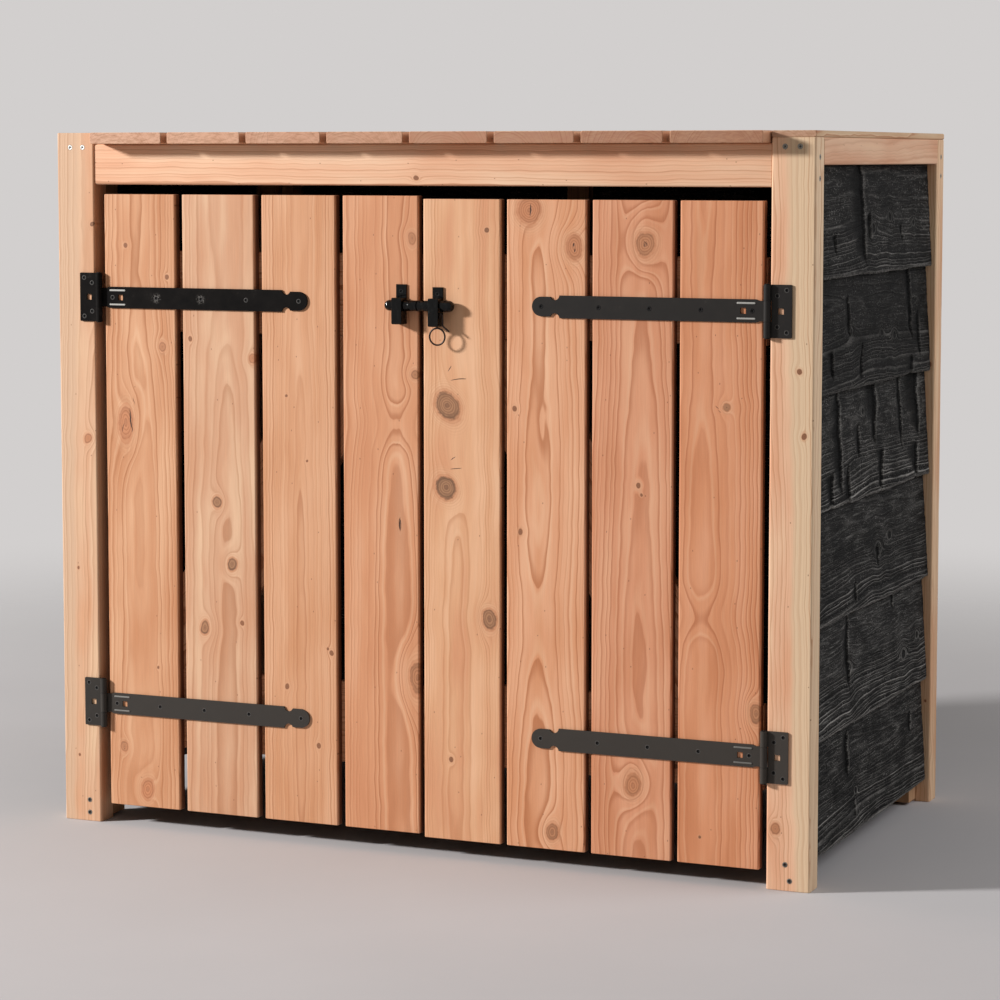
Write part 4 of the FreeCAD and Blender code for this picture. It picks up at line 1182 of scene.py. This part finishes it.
def rough_sawn_black_stain(name, grain, settings, tone=1.0, lap=0.0):
    """Rough-sawn softwood under black stain: near-black and matt, with wavy raised grain that the light and
    wear pick out in grey beside dark latewood, speckle from the saw, dark blotches and cracked knots. lap is
    the boards' spacing in mm where one piece holds several."""
    material, tree = new_material(name)
    _, (across, through, along) = board_millimetres(tree, grain)
    seed = grain.seed
    if lap:
        board = node(tree, MATH, {0: across, 1: -lap}, operation="DIVIDE")
        board = node(tree, MATH, {0: board}, operation="FLOOR")
        across = node(tree, MATH, {0: board, 1: lap, 2: across}, operation="MULTIPLY_ADD")
        seed = node(tree, MATH, {0: board, 1: 37.7, 2: grain.seed}, operation="MULTIPLY_ADD")
        knots = seeded_cladding_knots(tree, across, along, seed)
    else:
        knots = knots_on(tree, grain, across, along)
    rings = rings_on(tree, grain, knots, through, along, seed)

    # Blotches about 45 by 80 mm. Fibre is drawn 3.2 by 60 mm and the saw's specks 2.6 by 5 mm, coarser than
    # the real ones, so that they show on the side
    moved = node(tree, JOIN, {0: knots["Bend"], 1: seed, 2: along})
    blotch = node(tree, VECTOR, {0: moved, 1: (1 / 45, 1.0, 1 / 80)}, operation="MULTIPLY")
    blotch = node(tree, NOISE, {"Vector": blotch, "Scale": 1.0, "Detail": 4.0, "Roughness": 0.62})
    fibre = node(tree, VECTOR, {0: moved, 1: (1 / 3.2, 1.0, 1 / 60)}, operation="MULTIPLY")
    fibre = node(tree, NOISE, {
        "Vector": fibre, "Scale": 1.0, "Detail": 3.0, "Roughness": 0.65, "Distortion": 0.4})
    speck = node(tree, VECTOR, {0: moved, 1: (1 / 2.6, 1.0, 1 / 5)}, operation="MULTIPLY")
    speck = node(tree, NOISE, {"Vector": speck, "Scale": 1.0, "Detail": 2.0, "Roughness": 0.7})
    worn = node(tree, RANGE, {0: blotch, 1: 0.36, 2: 0.66}, **SMOOTH)
    stain = node(tree, MIX, {0: worn, 6: "#0b0b0b", 7: settings.stain}, **COLOUR)
    for end, most, colour in ((0.76, 0.8, "#5a5957"), (0.32, 0.85, "#080808")):
        amount = node(tree, RANGE, {0: fibre, 1: 0.5, 2: end, 4: most}, **SMOOTH)
        stain = node(tree, MIX, {0: amount, 6: stain, 7: colour}, **COLOUR)

    # Latewood and raised grain show most near a board's lower edge, which stands proud of the rest
    low = node(tree, RANGE, {0: across, 1: -115, 2: -30}, **SMOOTH)
    lined = node(tree, RANGE, {0: low, 3: 0.6, 4: 1.8})
    lined = node(tree, MATH, {0: rings["Line"], 1: lined}, operation="MULTIPLY")
    shown = node(tree, RANGE, {0: worn, 3: 0.25, 4: 1.0})
    crest = node(tree, RANGE, {0: low, 3: 0.16, 4: 1.1})
    crest = node(tree, MATH, {0: shown, 1: crest}, operation="MULTIPLY")
    crest = node(tree, MATH, {0: rings["Crest"], 1: crest}, operation="MULTIPLY")
    grey = node(tree, RANGE, {0: speck, 1: 0.6, 2: 0.7, 4: 0.85}, **SMOOTH)
    grey = node(tree, MATH, {0: grey, 1: shown}, operation="MULTIPLY")
    black = node(tree, RANGE, {0: speck, 1: 0.4, 2: 0.3, 4: 0.7}, **SMOOTH)

    # Each knot has a grey halo
    halo = node(tree, RANGE, {0: knots["Distance"], 1: 1.05, 2: 1.2}, **SMOOTH)
    outer = node(tree, RANGE, {0: knots["Distance"], 1: 1.6, 2: 1.25}, **SMOOTH)
    halo = node(tree, MATH, {0: halo, 1: outer}, operation="MULTIPLY")
    halo = node(tree, MATH, {0: halo, 1: 0.3}, operation="MULTIPLY")
    for amount, colour in ((lined, "#030303"), (crest, settings.raised_grain), (grey, "#8d8a87"),
                           (black, "#0a0a0a"), (halo, "#6c6a66")):
        stain = node(tree, MIX, {0: amount, 6: stain, 7: colour}, **COLOUR)

    # Short slits across the grain and the knots' hearts are black, and the hollows of the mesh are painted
    # black as shade. The worn lower edge is lighter, and so are the rims beside the hollows, as a painted
    # highlight
    slit = node(tree, VECTOR, {0: moved, 1: (1 / 50, 1.0, 1 / 7)}, operation="MULTIPLY")
    slit = node(tree, NOISE, {"Vector": slit, "Scale": 1.0, "Detail": 3.0, "Roughness": 0.7})
    slit = node(tree, RANGE, {0: slit, 1: 0.64, 2: 0.72}, **SMOOTH)
    slit = node(tree, MATH, {0: slit, 1: 0.75}, operation="MULTIPLY")
    hollow = node(tree, "ShaderNodeAttribute", attribute_name="hollow").outputs["Fac"]
    core = node(tree, RANGE, {0: knots["Distance"], 1: 0.75, 2: 1.05, 3: 0.9, 4: 0.0}, **SMOOTH)
    pit = node(tree, MATH, {0: slit, 1: hollow}, operation="MAXIMUM")
    pit = node(tree, MATH, {0: pit, 1: core}, operation="MAXIMUM")
    rubbed = node(tree, RANGE, {0: speck, 1: 0.35, 2: 0.6, 3: 0.1, 4: 0.75}, **SMOOTH)
    rim = node(tree, "ShaderNodeAttribute", attribute_name="worn_edge_and_highlight").outputs["Fac"]
    rim = node(tree, MATH, {0: rim, 1: rubbed}, operation="MULTIPLY")
    for amount, colour in ((pit, "#050505"), (rim, "#85827e")):
        stain = node(tree, MIX, {0: amount, 6: stain, 7: colour}, **COLOUR)
    stain = node(tree, VECTOR, {0: stain, "Scale": tone}, operation="SCALE")

    # Relief: marks of the saw 4.2 mm apart, fibre, specks, sunken latewood, raised grain, and pits
    marks = node(tree, MATH, {0: fibre, 1: 5.0, 2: along}, operation="MULTIPLY_ADD")
    marks = node(tree, MATH, {0: marks, 1: math.tau / 4.2}, operation="MULTIPLY")
    marks = node(tree, MATH, {0: marks}, operation="SINE")
    relief = fibre
    for pattern, share in ((marks, 0.06), (speck, 0.7), (rings["Line"], -0.7), (rings["Crest"], 0.6),
                           (pit, -0.9)):
        relief = node(tree, MATH, {0: pattern, 1: share, 2: relief}, operation="MULTIPLY_ADD")
    bump = node(tree, BUMP, {"Height": relief, "Strength": 0.9, "Distance": 2.2 * MM})
    rough = node(tree, RANGE, {0: fibre, 1: 0.2, 2: 0.8, 3: 0.6, 4: 0.85})
    return finish_material(material, tree, node(tree, SURFACE, {
        "Base Color": stain, "Roughness": rough, "Normal": bump, "IOR": 1.45, "Specular IOR Level": 0.08}))


# The spacing of the lapped boards, in mm
LAP = 192.7

# The right side's boards, lowest first: how light the stain is, the knots as (above the lower edge, along
# from the middle, size in mm, stretch), and the hollows for hollow_at, in metres
RIGHT_BOARDS = [
    (1.65, [(70, -95, 5.0, 1.3)],
     [(-0.135, 0.100, 0.185, 0.010, 0.0036, 0), (0.27, 0.105, 0.150, 0.008, 0.0030, 0),
      (-0.10, 0.02, 0.06, 0.010, 0.0016, 0)]),
    (1.95, [(98, -140, 10.0, 1.4), (70, 205, 8.0, 1.5), (92, 300, 6.0, 1.3)],
     [(-0.135, 0.055, 0.200, 0.007, 0.0036, 0), (0.150, 0.160, 0.21, 0.008, 0.0030, 1)]),
    (1.32, [(92, 35, 10.0, 1.5), (108, 110, 7.0, 1.6), (60, -330, 6.0, 1.4)],
     [(-0.110, 0.015, 0.055, 0.005, 0.0030, 0), (0.035, 0.060, 0.100, 0.007, 0.0034, 1)]),
    (1.45, [(150, -60, 6.0, 1.4)],
     [(-0.205, 0.010, 0.21, 0.012, 0.0044, 0), (-0.330, 0.05, 0.21, 0.010, 0.0032, 0),
      (-0.085, 0.070, 0.135, 0.006, 0.0034, 0), (0.012, 0.085, 0.212, 0.018, 0.0050, 1),
      (0.045, -0.004, 0.080, 0.012, 0.0050, 1), (0.180, 0.060, 0.212, 0.006, 0.0040, 0),
      (0.292, 0.075, 0.212, 0.026, 0.0050, 1), (0.275, -0.004, 0.072, 0.016, 0.0048, 1),
      (-0.255, -0.004, 0.062, 0.012, 0.0044, 1), (-0.165, -0.004, 0.070, 0.012, 0.0040, -1)]),
    (0.66, [(88, 40, 5.0, 1.4), (80, 120, 6.0, 1.3), (100, -150, 7.0, 1.5)],
     [(0.235, 0.060, 0.212, 0.012, 0.0050, 1), (0.225, -0.004, 0.040, 0.012, 0.0036, 0),
      (-0.255, 0.025, 0.075, 0.012, 0.0040, 1), (-0.155, 0.090, 0.165, 0.007, 0.0034, 0),
      (-0.085, 0.012, 0.080, 0.007, 0.0034, -1), (0.285, 0.03, 0.12, 0.009, 0.0034, 0)]),
    (1.03, [(98, 87, 7.0, 1.3), (80, -20, 8.0, 1.4), (85, 240, 5.0, 1.3)],
     [(-0.080, 0.015, 0.215, 0.018, 0.0052, 0), (-0.030, 0.055, 0.110, 0.007, 0.0040, 0),
      (-0.240, 0.040, 0.075, 0.009, 0.0034, 1), (0.160, 0.045, 0.085, 0.006, 0.0030, 1)]),
]


def seeded_hollows(seed, half_length, count):
    """A few hollows at seeded places on a board that the photograph doesn't show, in metres."""
    source = random.Random(seed)
    found = []
    for _ in range(count):
        start = source.uniform(-0.004, 0.1)
        found.append((source.uniform(-half_length, half_length), start, start + source.uniform(0.05, 0.14),
                      source.uniform(0.006, 0.018), source.uniform(0.0028, 0.0048),
                      source.choice((-1, 0, 1))))
    return found


class BINSTORE_OT_cladding(bpy.types.Operator):
    """Add the black-stained lapped boards of the sides and the back"""
    bl_idname = "binstore.cladding"
    bl_label = "Add cladding"

    def execute(self, context):
        settings = context.scene.bin_store_cladding
        sides = (("right", [f"right_cladding_board_{i}" for i in range(1, 7)], RIGHT, 0.0035, 0.0),
                 ("left", ["left_cladding"], -RIGHT, 0.005, LAP),
                 ("back", ["back_cladding"], BACK, 0.006, LAP))
        for side, names, outward, step, lap in sides:
            for k, name in enumerate(names):
                solids = sorted(solids_of(name), key=lambda solid: solid[0].z)
                tone, knots, hollows = (1.2, [], None) if lap else RIGHT_BOARDS[k]
                low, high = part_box(name)
                origin = (low + high) / 2
                origin.z = low.z
                origin += outward * ((high - low).dot(outward) / 2)
                knots = [(-rise, w, (size, stretch, 2.6, 15.0), 1.0) for rise, w, size, stretch in knots]
                grain = Grain(origin, -UP, -outward, ring=7.0, pith=(-135.0 - 9 * (k % 3), 42.0), taper=0.015,
                              wander=42.0, seed=3.1 + 11.9 * k + 40 * len(side), knots=knots)
                material = rough_sawn_black_stain(name + "_rough_sawn_black_stain", grain, settings,
                                                  tone, lap)
                run = Vector([abs(c) for c in grain.along])
                mesh = bmesh.new()
                dark = mesh.verts.layers.float.new("hollow")
                worn = mesh.verts.layers.float.new("worn_edge_and_highlight")
                for j, solid in enumerate(solids):
                    half = (solid[1] - solid[0]).dot(run) / 2
                    here = hollows or seeded_hollows(300 + 7 * j + int(half * 100), half * 0.9, 6)
                    lapped_board(mesh, dark, worn, solid, outward, run, settings, here, step,
                                 11.0 * k + 5.0 * j + half)
                piece = object_from(name + "_sawn", mesh, material, "carcass")
                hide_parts(name)
        return {"FINISHED"}


# Steel: hinges, latch, clip and screws

# Where a highlight is painted along a strap's two pressed ribs, in metres: middle and half length from the
# pin along the strap, middle and half width from the strap's middle line, and the Y that only the ribs reach
RIB_RUN = (0.0365, 0.0165)
RIB_RISE = (0.0128, 0.0016)
RIB_FRONT = -0.3849


def powder_coat(name, settings, ribs=None, faded=0.0, scuffs=(), shine=0.16):
    """Satin black powder coat on steel: fine orange-peel, grey scuffs, a painted highlight along pressed
    ribs, and a chalky bloom where it has faded. ribs gives the pin's X, the way that the strap runs from it,
    and the height of the strap's middle line."""
    material, tree = new_material(name)
    place = node(tree, PLACE).outputs["Object"]
    peel = node(tree, NOISE, {"Vector": place, "Scale": 1 / (1.111 * MM), "Detail": 2.0})
    cloud = node(tree, NOISE, {"Vector": place, "Scale": 1 / (26.32 * MM), "Detail": 3.0, "Roughness": 0.6})
    rub = node(tree, NOISE, {"Vector": place, "Scale": 1 / (4.167 * MM), "Detail": 4.0, "Roughness": 0.75})
    rub = node(tree, MATH, {0: rub, 1: cloud}, operation="MULTIPLY")
    rub = node(tree, RANGE, {0: rub, 1: 0.36, 2: 0.48, 4: 0.4})
    tone = node(tree, RANGE, {0: cloud, 1: 0.3, 2: 0.7})
    coat = node(tree, MIX, {0: tone, 6: settings.powder_coat, 7: "#1d1b1a"}, **COLOUR)
    coat = node(tree, MIX, {0: rub, 6: coat, 7: "#423f3c"}, **COLOUR)
    coat = node(tree, MIX, {0: faded, 6: coat, 7: "#4a4540"}, **COLOUR)
    for spot in scuffs:
        away = node(tree, VECTOR, {0: place, 1: spot}, operation="DISTANCE")
        away = node(tree, RANGE, {0: away, 1: 0.003, 2: 0.012, 3: 0.75, 4: 0.0}, **SMOOTH)
        chalk = node(tree, NOISE, {
            "Vector": place, "Scale": 1 / (2.381 * MM), "Detail": 3.0, "Roughness": 0.7})
        chalk = node(tree, RANGE, {0: chalk, 1: 0.5, 2: 0.64}, **SMOOTH)
        chalk = node(tree, MATH, {0: away, 1: chalk}, operation="MULTIPLY")
        coat = node(tree, MIX, {0: chalk, 6: coat, 7: "#8d8984"}, **COLOUR)
    # A painted highlight, near white, along the proud crests of the two pressed ribs
    if ribs:
        pin, toward, middle = ribs
        spot = node(tree, SPLIT, {0: place}).outputs
        run = node(tree, MATH, {0: spot[0], 1: pin}, operation="SUBTRACT")
        run = node(tree, MATH, {0: run, 1: toward}, operation="MULTIPLY")
        rise = node(tree, MATH, {0: spot[2], 1: middle}, operation="SUBTRACT")
        rise = node(tree, MATH, {0: rise}, operation="ABSOLUTE")
        near_run = node(tree, MATH, {0: run, 1: RIB_RUN[0], 2: RIB_RUN[1]}, operation="COMPARE")
        near_rise = node(tree, MATH, {0: rise, 1: RIB_RISE[0], 2: RIB_RISE[1]}, operation="COMPARE")
        proud = node(tree, MATH, {0: spot[1], 1: RIB_FRONT}, operation="LESS_THAN")
        rib_highlight = node(tree, MATH, {0: near_run, 1: near_rise}, operation="MULTIPLY")
        rib_highlight = node(tree, MATH, {0: rib_highlight, 1: proud}, operation="MULTIPLY")
        rib_highlight = node(tree, MATH, {0: rib_highlight, 1: 0.85 - faded}, operation="MULTIPLY")
        coat = node(tree, MIX, {0: rib_highlight, 6: coat, 7: "#c4c3be"}, **COLOUR)
    rough = node(tree, RANGE, {0: peel, 1: 0.3, 2: 0.7, 3: 0.42, 4: 0.54})
    bump = node(tree, BUMP, {"Height": peel, "Strength": 0.25, "Distance": 0.1 * MM})
    return finish_material(material, tree, node(tree, SURFACE, {
        "Base Color": coat, "Roughness": rough, "Normal": bump, "IOR": 1.5, "Specular IOR Level": shine}))


def glossy_black_enamel(name, settings):
    """Dipped, stoved black enamel on the latch: glossy, faintly uneven and dusty, with sharp highlights."""
    material, tree = new_material(name)
    place = node(tree, PLACE).outputs["Object"]
    flow = node(tree, NOISE, {"Vector": place, "Scale": 1 / (9.091 * MM), "Detail": 1.0})
    dust = node(tree, NOISE, {"Vector": place, "Scale": 1 / (1.4286 * MM), "Detail": 3.0, "Roughness": 0.7})
    dust = node(tree, RANGE, {0: dust, 1: 0.62, 2: 0.74, 4: 0.12})
    coat = node(tree, MIX, {0: dust, 6: settings.enamel, 7: "#4c4a48"}, **COLOUR)
    rough = node(tree, RANGE, {0: flow, 1: 0.3, 2: 0.7, 3: 0.08, 4: 0.16})
    bump = node(tree, BUMP, {"Height": flow, "Strength": 1.0, "Distance": 2.6 * MM})
    return finish_material(material, tree, node(tree, SURFACE, {
        "Base Color": coat, "Roughness": rough, "Normal": bump, "IOR": 1.5, "Specular IOR Level": 0.2}))


def drawn_wire(name):
    """Drawn steel wire with dark brown phosphate: satin, with a fine mottle at under a millimetre."""
    material, tree = new_material(name)
    place = node(tree, PLACE).outputs["Object"]
    mottle = node(tree, NOISE, {"Vector": place, "Scale": 1 / (0.8333 * MM), "Detail": 2.0})
    tone = node(tree, RANGE, {0: mottle, 1: 0.3, 2: 0.7})
    colour = node(tree, MIX, {0: tone, 6: "#1c1310", 7: "#33241d"}, **COLOUR)
    rough = node(tree, RANGE, {0: mottle, 1: 0.3, 2: 0.7, 3: 0.3, 4: 0.42})
    bump = node(tree, BUMP, {"Height": mottle, "Strength": 0.2, "Distance": 0.05 * MM})
    return finish_material(material, tree, node(tree, SURFACE, {
        "Base Color": colour, "Roughness": rough, "Normal": bump, "Metallic": 0.6}))


def screw_metal(name, dark, pale, metallic, roughness):
    """Screw metal with driver rubs: zinc plate or black phosphate, mottled at under a millimetre."""
    material, tree = new_material(name)
    place = node(tree, PLACE).outputs["Object"]
    mottle = node(tree, NOISE, {"Vector": place, "Scale": 1 / (0.6667 * MM), "Detail": 3.0, "Roughness": 0.6})
    tone = node(tree, RANGE, {0: mottle, 1: 0.35, 2: 0.65})
    colour = node(tree, MIX, {0: tone, 6: dark, 7: pale}, **COLOUR)
    rough = node(tree, RANGE, {0: mottle, 1: 0.3, 2: 0.7, 3: roughness - 0.06, 4: roughness + 0.08})
    bump = node(tree, BUMP, {"Height": mottle, "Strength": 0.3, "Distance": 0.06 * MM})
    return finish_material(material, tree, node(tree, SURFACE, {
        "Base Color": colour, "Roughness": rough, "Normal": bump, "Metallic": metallic,
        "Specular IOR Level": 0.5 if metallic else 0.12}))


# Sides of a screw's head
SCREW_SIDES = 32


def screw_mesh(mesh, head, drive, radius, length, turn, paints):
    """Adds one countersunk cross-head screw: eased rim, slightly domed top, tapered recess and pointed shank.
    paints gives the material numbers of its rim, its top and shank, and its recess."""
    spin = Matrix.Rotation(turn, 4, "Z")
    place = Matrix.Translation(head) @ UP.rotation_difference(drive).to_matrix().to_4x4() @ spin
    arm, waist = radius * 0.52, radius * 0.15
    angles = [math.tau * k / SCREW_SIDES for k in range(SCREW_SIDES)]

    def cross(scale):
        reach = []
        for angle in angles:
            c, s = abs(math.cos(angle)), abs(math.sin(angle))
            big, small = max(c, s), min(c, s)
            reach.append(scale * (min(arm / big, waist / small, arm) if small > 1e-6 else arm))
        return reach

    def circle(share):
        return [radius * share] * SCREW_SIDES

    # From the floor of the recess over the head to the point: reach at each angle, depth, and which of paints
    levels = [
        (cross(0.35), 0.3 * radius, 2), (cross(0.8), 0.28 * radius, 2), (cross(1.0), 0.0, 2),
        (circle(0.72), 0.0, 1), (circle(0.93), 0.0, 0), (circle(1.0), 0.00018, 0),
        (circle(0.56), radius * 0.62, 1), (circle(0.5), length - 0.006, 1), (circle(0.06), length, 1),
    ]
    rings = [[mesh.verts.new(place @ Vector((r * math.cos(angle), r * math.sin(angle), depth)))
              for r, angle in zip(reach, angles)] for reach, depth, _ in levels]
    for row, (_, _, part) in zip(skin(mesh, rings, caps=False), levels[1:]):
        for face in row:
            face.material_index = paints[part]
    for ring in (rings[0], rings[-1]):
        mesh.faces.new(ring).material_index = paints[2]


def eased_edges(holder, width):
    """Rounds the sharp edges of a steel piece, so that they catch the light."""
    bevel = holder.modifiers.new("eased_edges", "BEVEL")
    bevel.width = width
    bevel.segments = 2
    bevel.limit_method = "ANGLE"
    bevel.angle_limit = math.radians(50)


def paint(name, material):
    """Gives a CAD node its one material."""
    NODES[name].data.materials.clear()
    NODES[name].data.materials.append(material)


# How far the coat of each hinge's strap and plate has faded, and how much it shines
STEEL_LOOKS = {("left_door", "lower"): (0.55, 0.4, 0.16), ("left_door", "upper"): (0.0, 0.0, 0.015),
               ("right_door", "lower"): (0.62, 0.7, 0.16), ("right_door", "upper"): (0.16, 0.1, 0.16)}

# Each door's pin along X and the way that its straps run from it, and the height of each strap's middle line
PINS = {"left_door": (-0.6225, 1.0), "right_door": (0.6305, -1.0)}
STRAP_HEIGHTS = {"lower": 0.222, "upper": 0.957}

# The strap whose coat is chalky round its screws, and the X that these screws lie between
SCUFFED = ("left_door_upper_strap", -0.56, -0.37)


class BINSTORE_OT_hinges(bpy.types.Operator):
    """Finish the four T-hinges"""
    bl_idname = "binstore.hinges"
    bl_label = "Finish hinges"

    def execute(self, context):
        steel = context.scene.bin_store_steel
        plain = powder_coat("satin_black_powder_coat", steel)
        for (door, height), (faded, plate_faded, shine) in STEEL_LOOKS.items():
            pin, toward = PINS[door]
            middle = STRAP_HEIGHTS[height]
            strap, plate = f"{door}_{height}_strap", f"{door}_{height}_hinge_plate"
            scuffs = [head for head, _, _ in screw_heads(f"{door}_screws")
                      if strap == SCUFFED[0] and abs(head.z - middle) < 0.01
                      and SCUFFED[1] < head.x < SCUFFED[2]]
            coat = powder_coat(strap + "_powder_coat", steel, (pin, toward, middle), faded, scuffs, shine)
            paint(strap, coat)
            paint(plate, powder_coat(plate + "_powder_coat", steel, faded=plate_faded, shine=shine))
            eased_edges(NODES[strap], 0.0004)
            eased_edges(NODES[plate], 0.0004)
        paint("hinge_pins", plain)
        return {"FINISHED"}


# Sides of a round hole in a plate
HOLE_SIDES = 40


def side_plate(mesh, x, thickness, low, high, hole=None):
    """Adds an upright plate across X between two (y, z) corners, with a round hole (y, z, radius) or none."""
    cy, cz = hole[:2] if hole else ((low[0] + high[0]) / 2, (low[1] + high[1]) / 2)
    corners = [(y, z) for y in (low[0], high[0]) for z in (low[1], high[1])]
    angles = sorted([math.atan2(z - cz, y - cy) for y, z in corners]
                    + ([math.tau * k / HOLE_SIDES - 3.1 for k in range(HOLE_SIDES)] if hole else []))
    loops = []
    for level in (x, x + thickness):
        outer, inner = [], []
        for angle in angles:
            c, s = math.cos(angle), math.sin(angle)
            reach = min(((high[0] if c > 0 else low[0]) - cy) / c, ((high[1] if s > 0 else low[1]) - cz) / s)
            outer.append(mesh.verts.new((level, cy + c * reach, cz + s * reach)))
            if hole:
                inner.append(mesh.verts.new((level, cy + c * hole[2], cz + s * hole[2])))
        loops.append((outer, inner))
    (outer_a, inner_a), (outer_b, inner_b) = loops
    pairs = [(outer_a, outer_b)]
    if hole:
        pairs += [(outer_a, inner_a), (inner_a, inner_b), (inner_b, outer_b)]
    else:
        mesh.faces.new(outer_a)
        mesh.faces.new(outer_b)
    for pair in pairs:
        skin(mesh, pair, caps=False)


# The plates that close the right sides of the latch's brackets: name, body, X, two (y, z) corners, and a
# round hole (y, z, radius)
LATCH_SIDES = (
    ("latch_keeper_side", "left_door", -0.0195, (-0.4030, 0.924), (-0.3815, 0.964),
     (-0.39225, 0.954, 0.0093)),
    ("latch_housing_side", "right_door", 0.0490, (-0.3963, 0.921), (-0.3815, 0.9435), None))


class BINSTORE_OT_latch(bpy.types.Operator):
    """Finish the latch's brackets, bolt and ring clip"""
    bl_idname = "binstore.latch"
    bl_label = "Finish latch"

    def execute(self, context):
        enamel = glossy_black_enamel("glossy_black_enamel", context.scene.bin_store_steel)
        for name in ("latch_keeper", "latch_housing", "latch_bolt"):
            paint(name, enamel)
        for name in ("latch_keeper", "latch_housing"):
            eased_edges(NODES[name], 0.0009)
        for name, body, x, low, high, hole in LATCH_SIDES:
            mesh = bmesh.new()
            side_plate(mesh, x, 0.0015, low, high, hole)
            plate = object_from(name, mesh, enamel, body)
            plate.data.shade_flat()
            eased_edges(plate, 0.0004)
        paint("ring_clip", drawn_wire("brown_drawn_wire"))
        return {"FINISHED"}


class BINSTORE_OT_screws(bpy.types.Operator):
    """Add the screws, with cross recesses and eased rims"""
    bl_idname = "binstore.screws"
    bl_label = "Add screws"

    def execute(self, context):
        # dark_recess is painted shade in the zinc screws' cross recesses, and also darkens the heads at the
        # foot
        metals = [screw_metal("black_phosphate", "#0b0a0a", "#191818", 0.0, 0.5),
                  screw_metal("driver_rubbed_rim", "#444240", "#605d5a", 0.0, 0.45),
                  screw_metal("bright_zinc_plate", "#c9c8c4", "#efeeea", 0.2, 0.35),
                  screw_metal("dull_zinc_plate", "#6b675f", "#98938a", 0.5, 0.45),
                  screw_metal("dark_recess", "#241d18", "#3a3029", 0.1, 0.7)]
        jobs = (("hinge_plate_screws", "carcass", "black_screws", 0.030),
                ("left_door_screws", "left_door", "black_screws", 0.030),
                ("right_door_screws", "right_door", "black_screws", 0.030),
                ("carcass_screws", "carcass", "zinc_screws", 0.05))
        for k, (name, body, slot_name, length) in enumerate(jobs):
            source = random.Random(900 + k)
            mesh = bmesh.new()
            for head, drive, radius in screw_heads(name):
                # Black screws have rubbed rims, except in the latch and the right door's upper strap. Zinc
                # ones are bright at the top left, dull elsewhere, and dark at the foot, and their cross
                # recesses are painted dark as shade
                if name != "carcass_screws":
                    unrubbed = head.z > 0.9 and (name == "right_door_screws" or abs(head.x) < 0.1)
                    paints = (0, 0, 0) if unrubbed else (1, 0, 0)
                elif head.z < 0.1:
                    paints = (3, 4, 4)
                elif head.x < 0 and head.z > 1.2:
                    paints = (2, 2, 4)
                else:
                    paints = (3, 3, 4)
                screw_mesh(mesh, head, drive, radius, length, source.uniform(0, math.tau), paints)
            piece = object_from(name + "_cross_head", mesh, metals, body)
            flat_faces(piece)
            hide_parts(name)
        return {"FINISHED"}


CLASSES = [TimberSettings, CladdingSettings, SteelSettings, StageSettings, BINSTORE_OT_stage,
           BINSTORE_OT_posts, BINSTORE_OT_rails, BINSTORE_OT_battens, BINSTORE_OT_roof,
           BINSTORE_OT_door_boards, BINSTORE_OT_door_ledges, BINSTORE_OT_cladding, BINSTORE_OT_hinges,
           BINSTORE_OT_latch, BINSTORE_OT_screws]
STEPS = ["stage", "posts", "rails", "battens", "cladding", "roof", "door_boards", "door_ledges", "hinges",
         "latch", "screws"]


class BINSTORE_PT_panel(bpy.types.Panel):
    """Lists the steps of the bin store"""
    bl_idname = "BINSTORE_PT_panel"
    bl_label = "Wheelie Bin Store"
    bl_space_type = "VIEW_3D"
    bl_region_type = "UI"
    bl_category = "Bin Store"

    def draw(self, context):
        for step in STEPS:
            self.layout.operator(f"binstore.{step}")


def register():
    for one in CLASSES + [BINSTORE_PT_panel]:
        bpy.utils.register_class(one)
    bpy.types.Scene.bin_store_timber = bpy.props.PointerProperty(type=TimberSettings)
    bpy.types.Scene.bin_store_cladding = bpy.props.PointerProperty(type=CladdingSettings)
    bpy.types.Scene.bin_store_steel = bpy.props.PointerProperty(type=SteelSettings)
    bpy.types.Scene.bin_store_stage = bpy.props.PointerProperty(type=StageSettings)


def unregister():
    for label in ("timber", "cladding", "steel", "stage"):
        delattr(bpy.types.Scene, f"bin_store_{label}")
    for one in reversed(CLASSES + [BINSTORE_PT_panel]):
        bpy.utils.unregister_class(one)


def main():
    register()
    for step in STEPS:
        getattr(bpy.ops.binstore, step)()


if __name__ == "__main__":
    main()
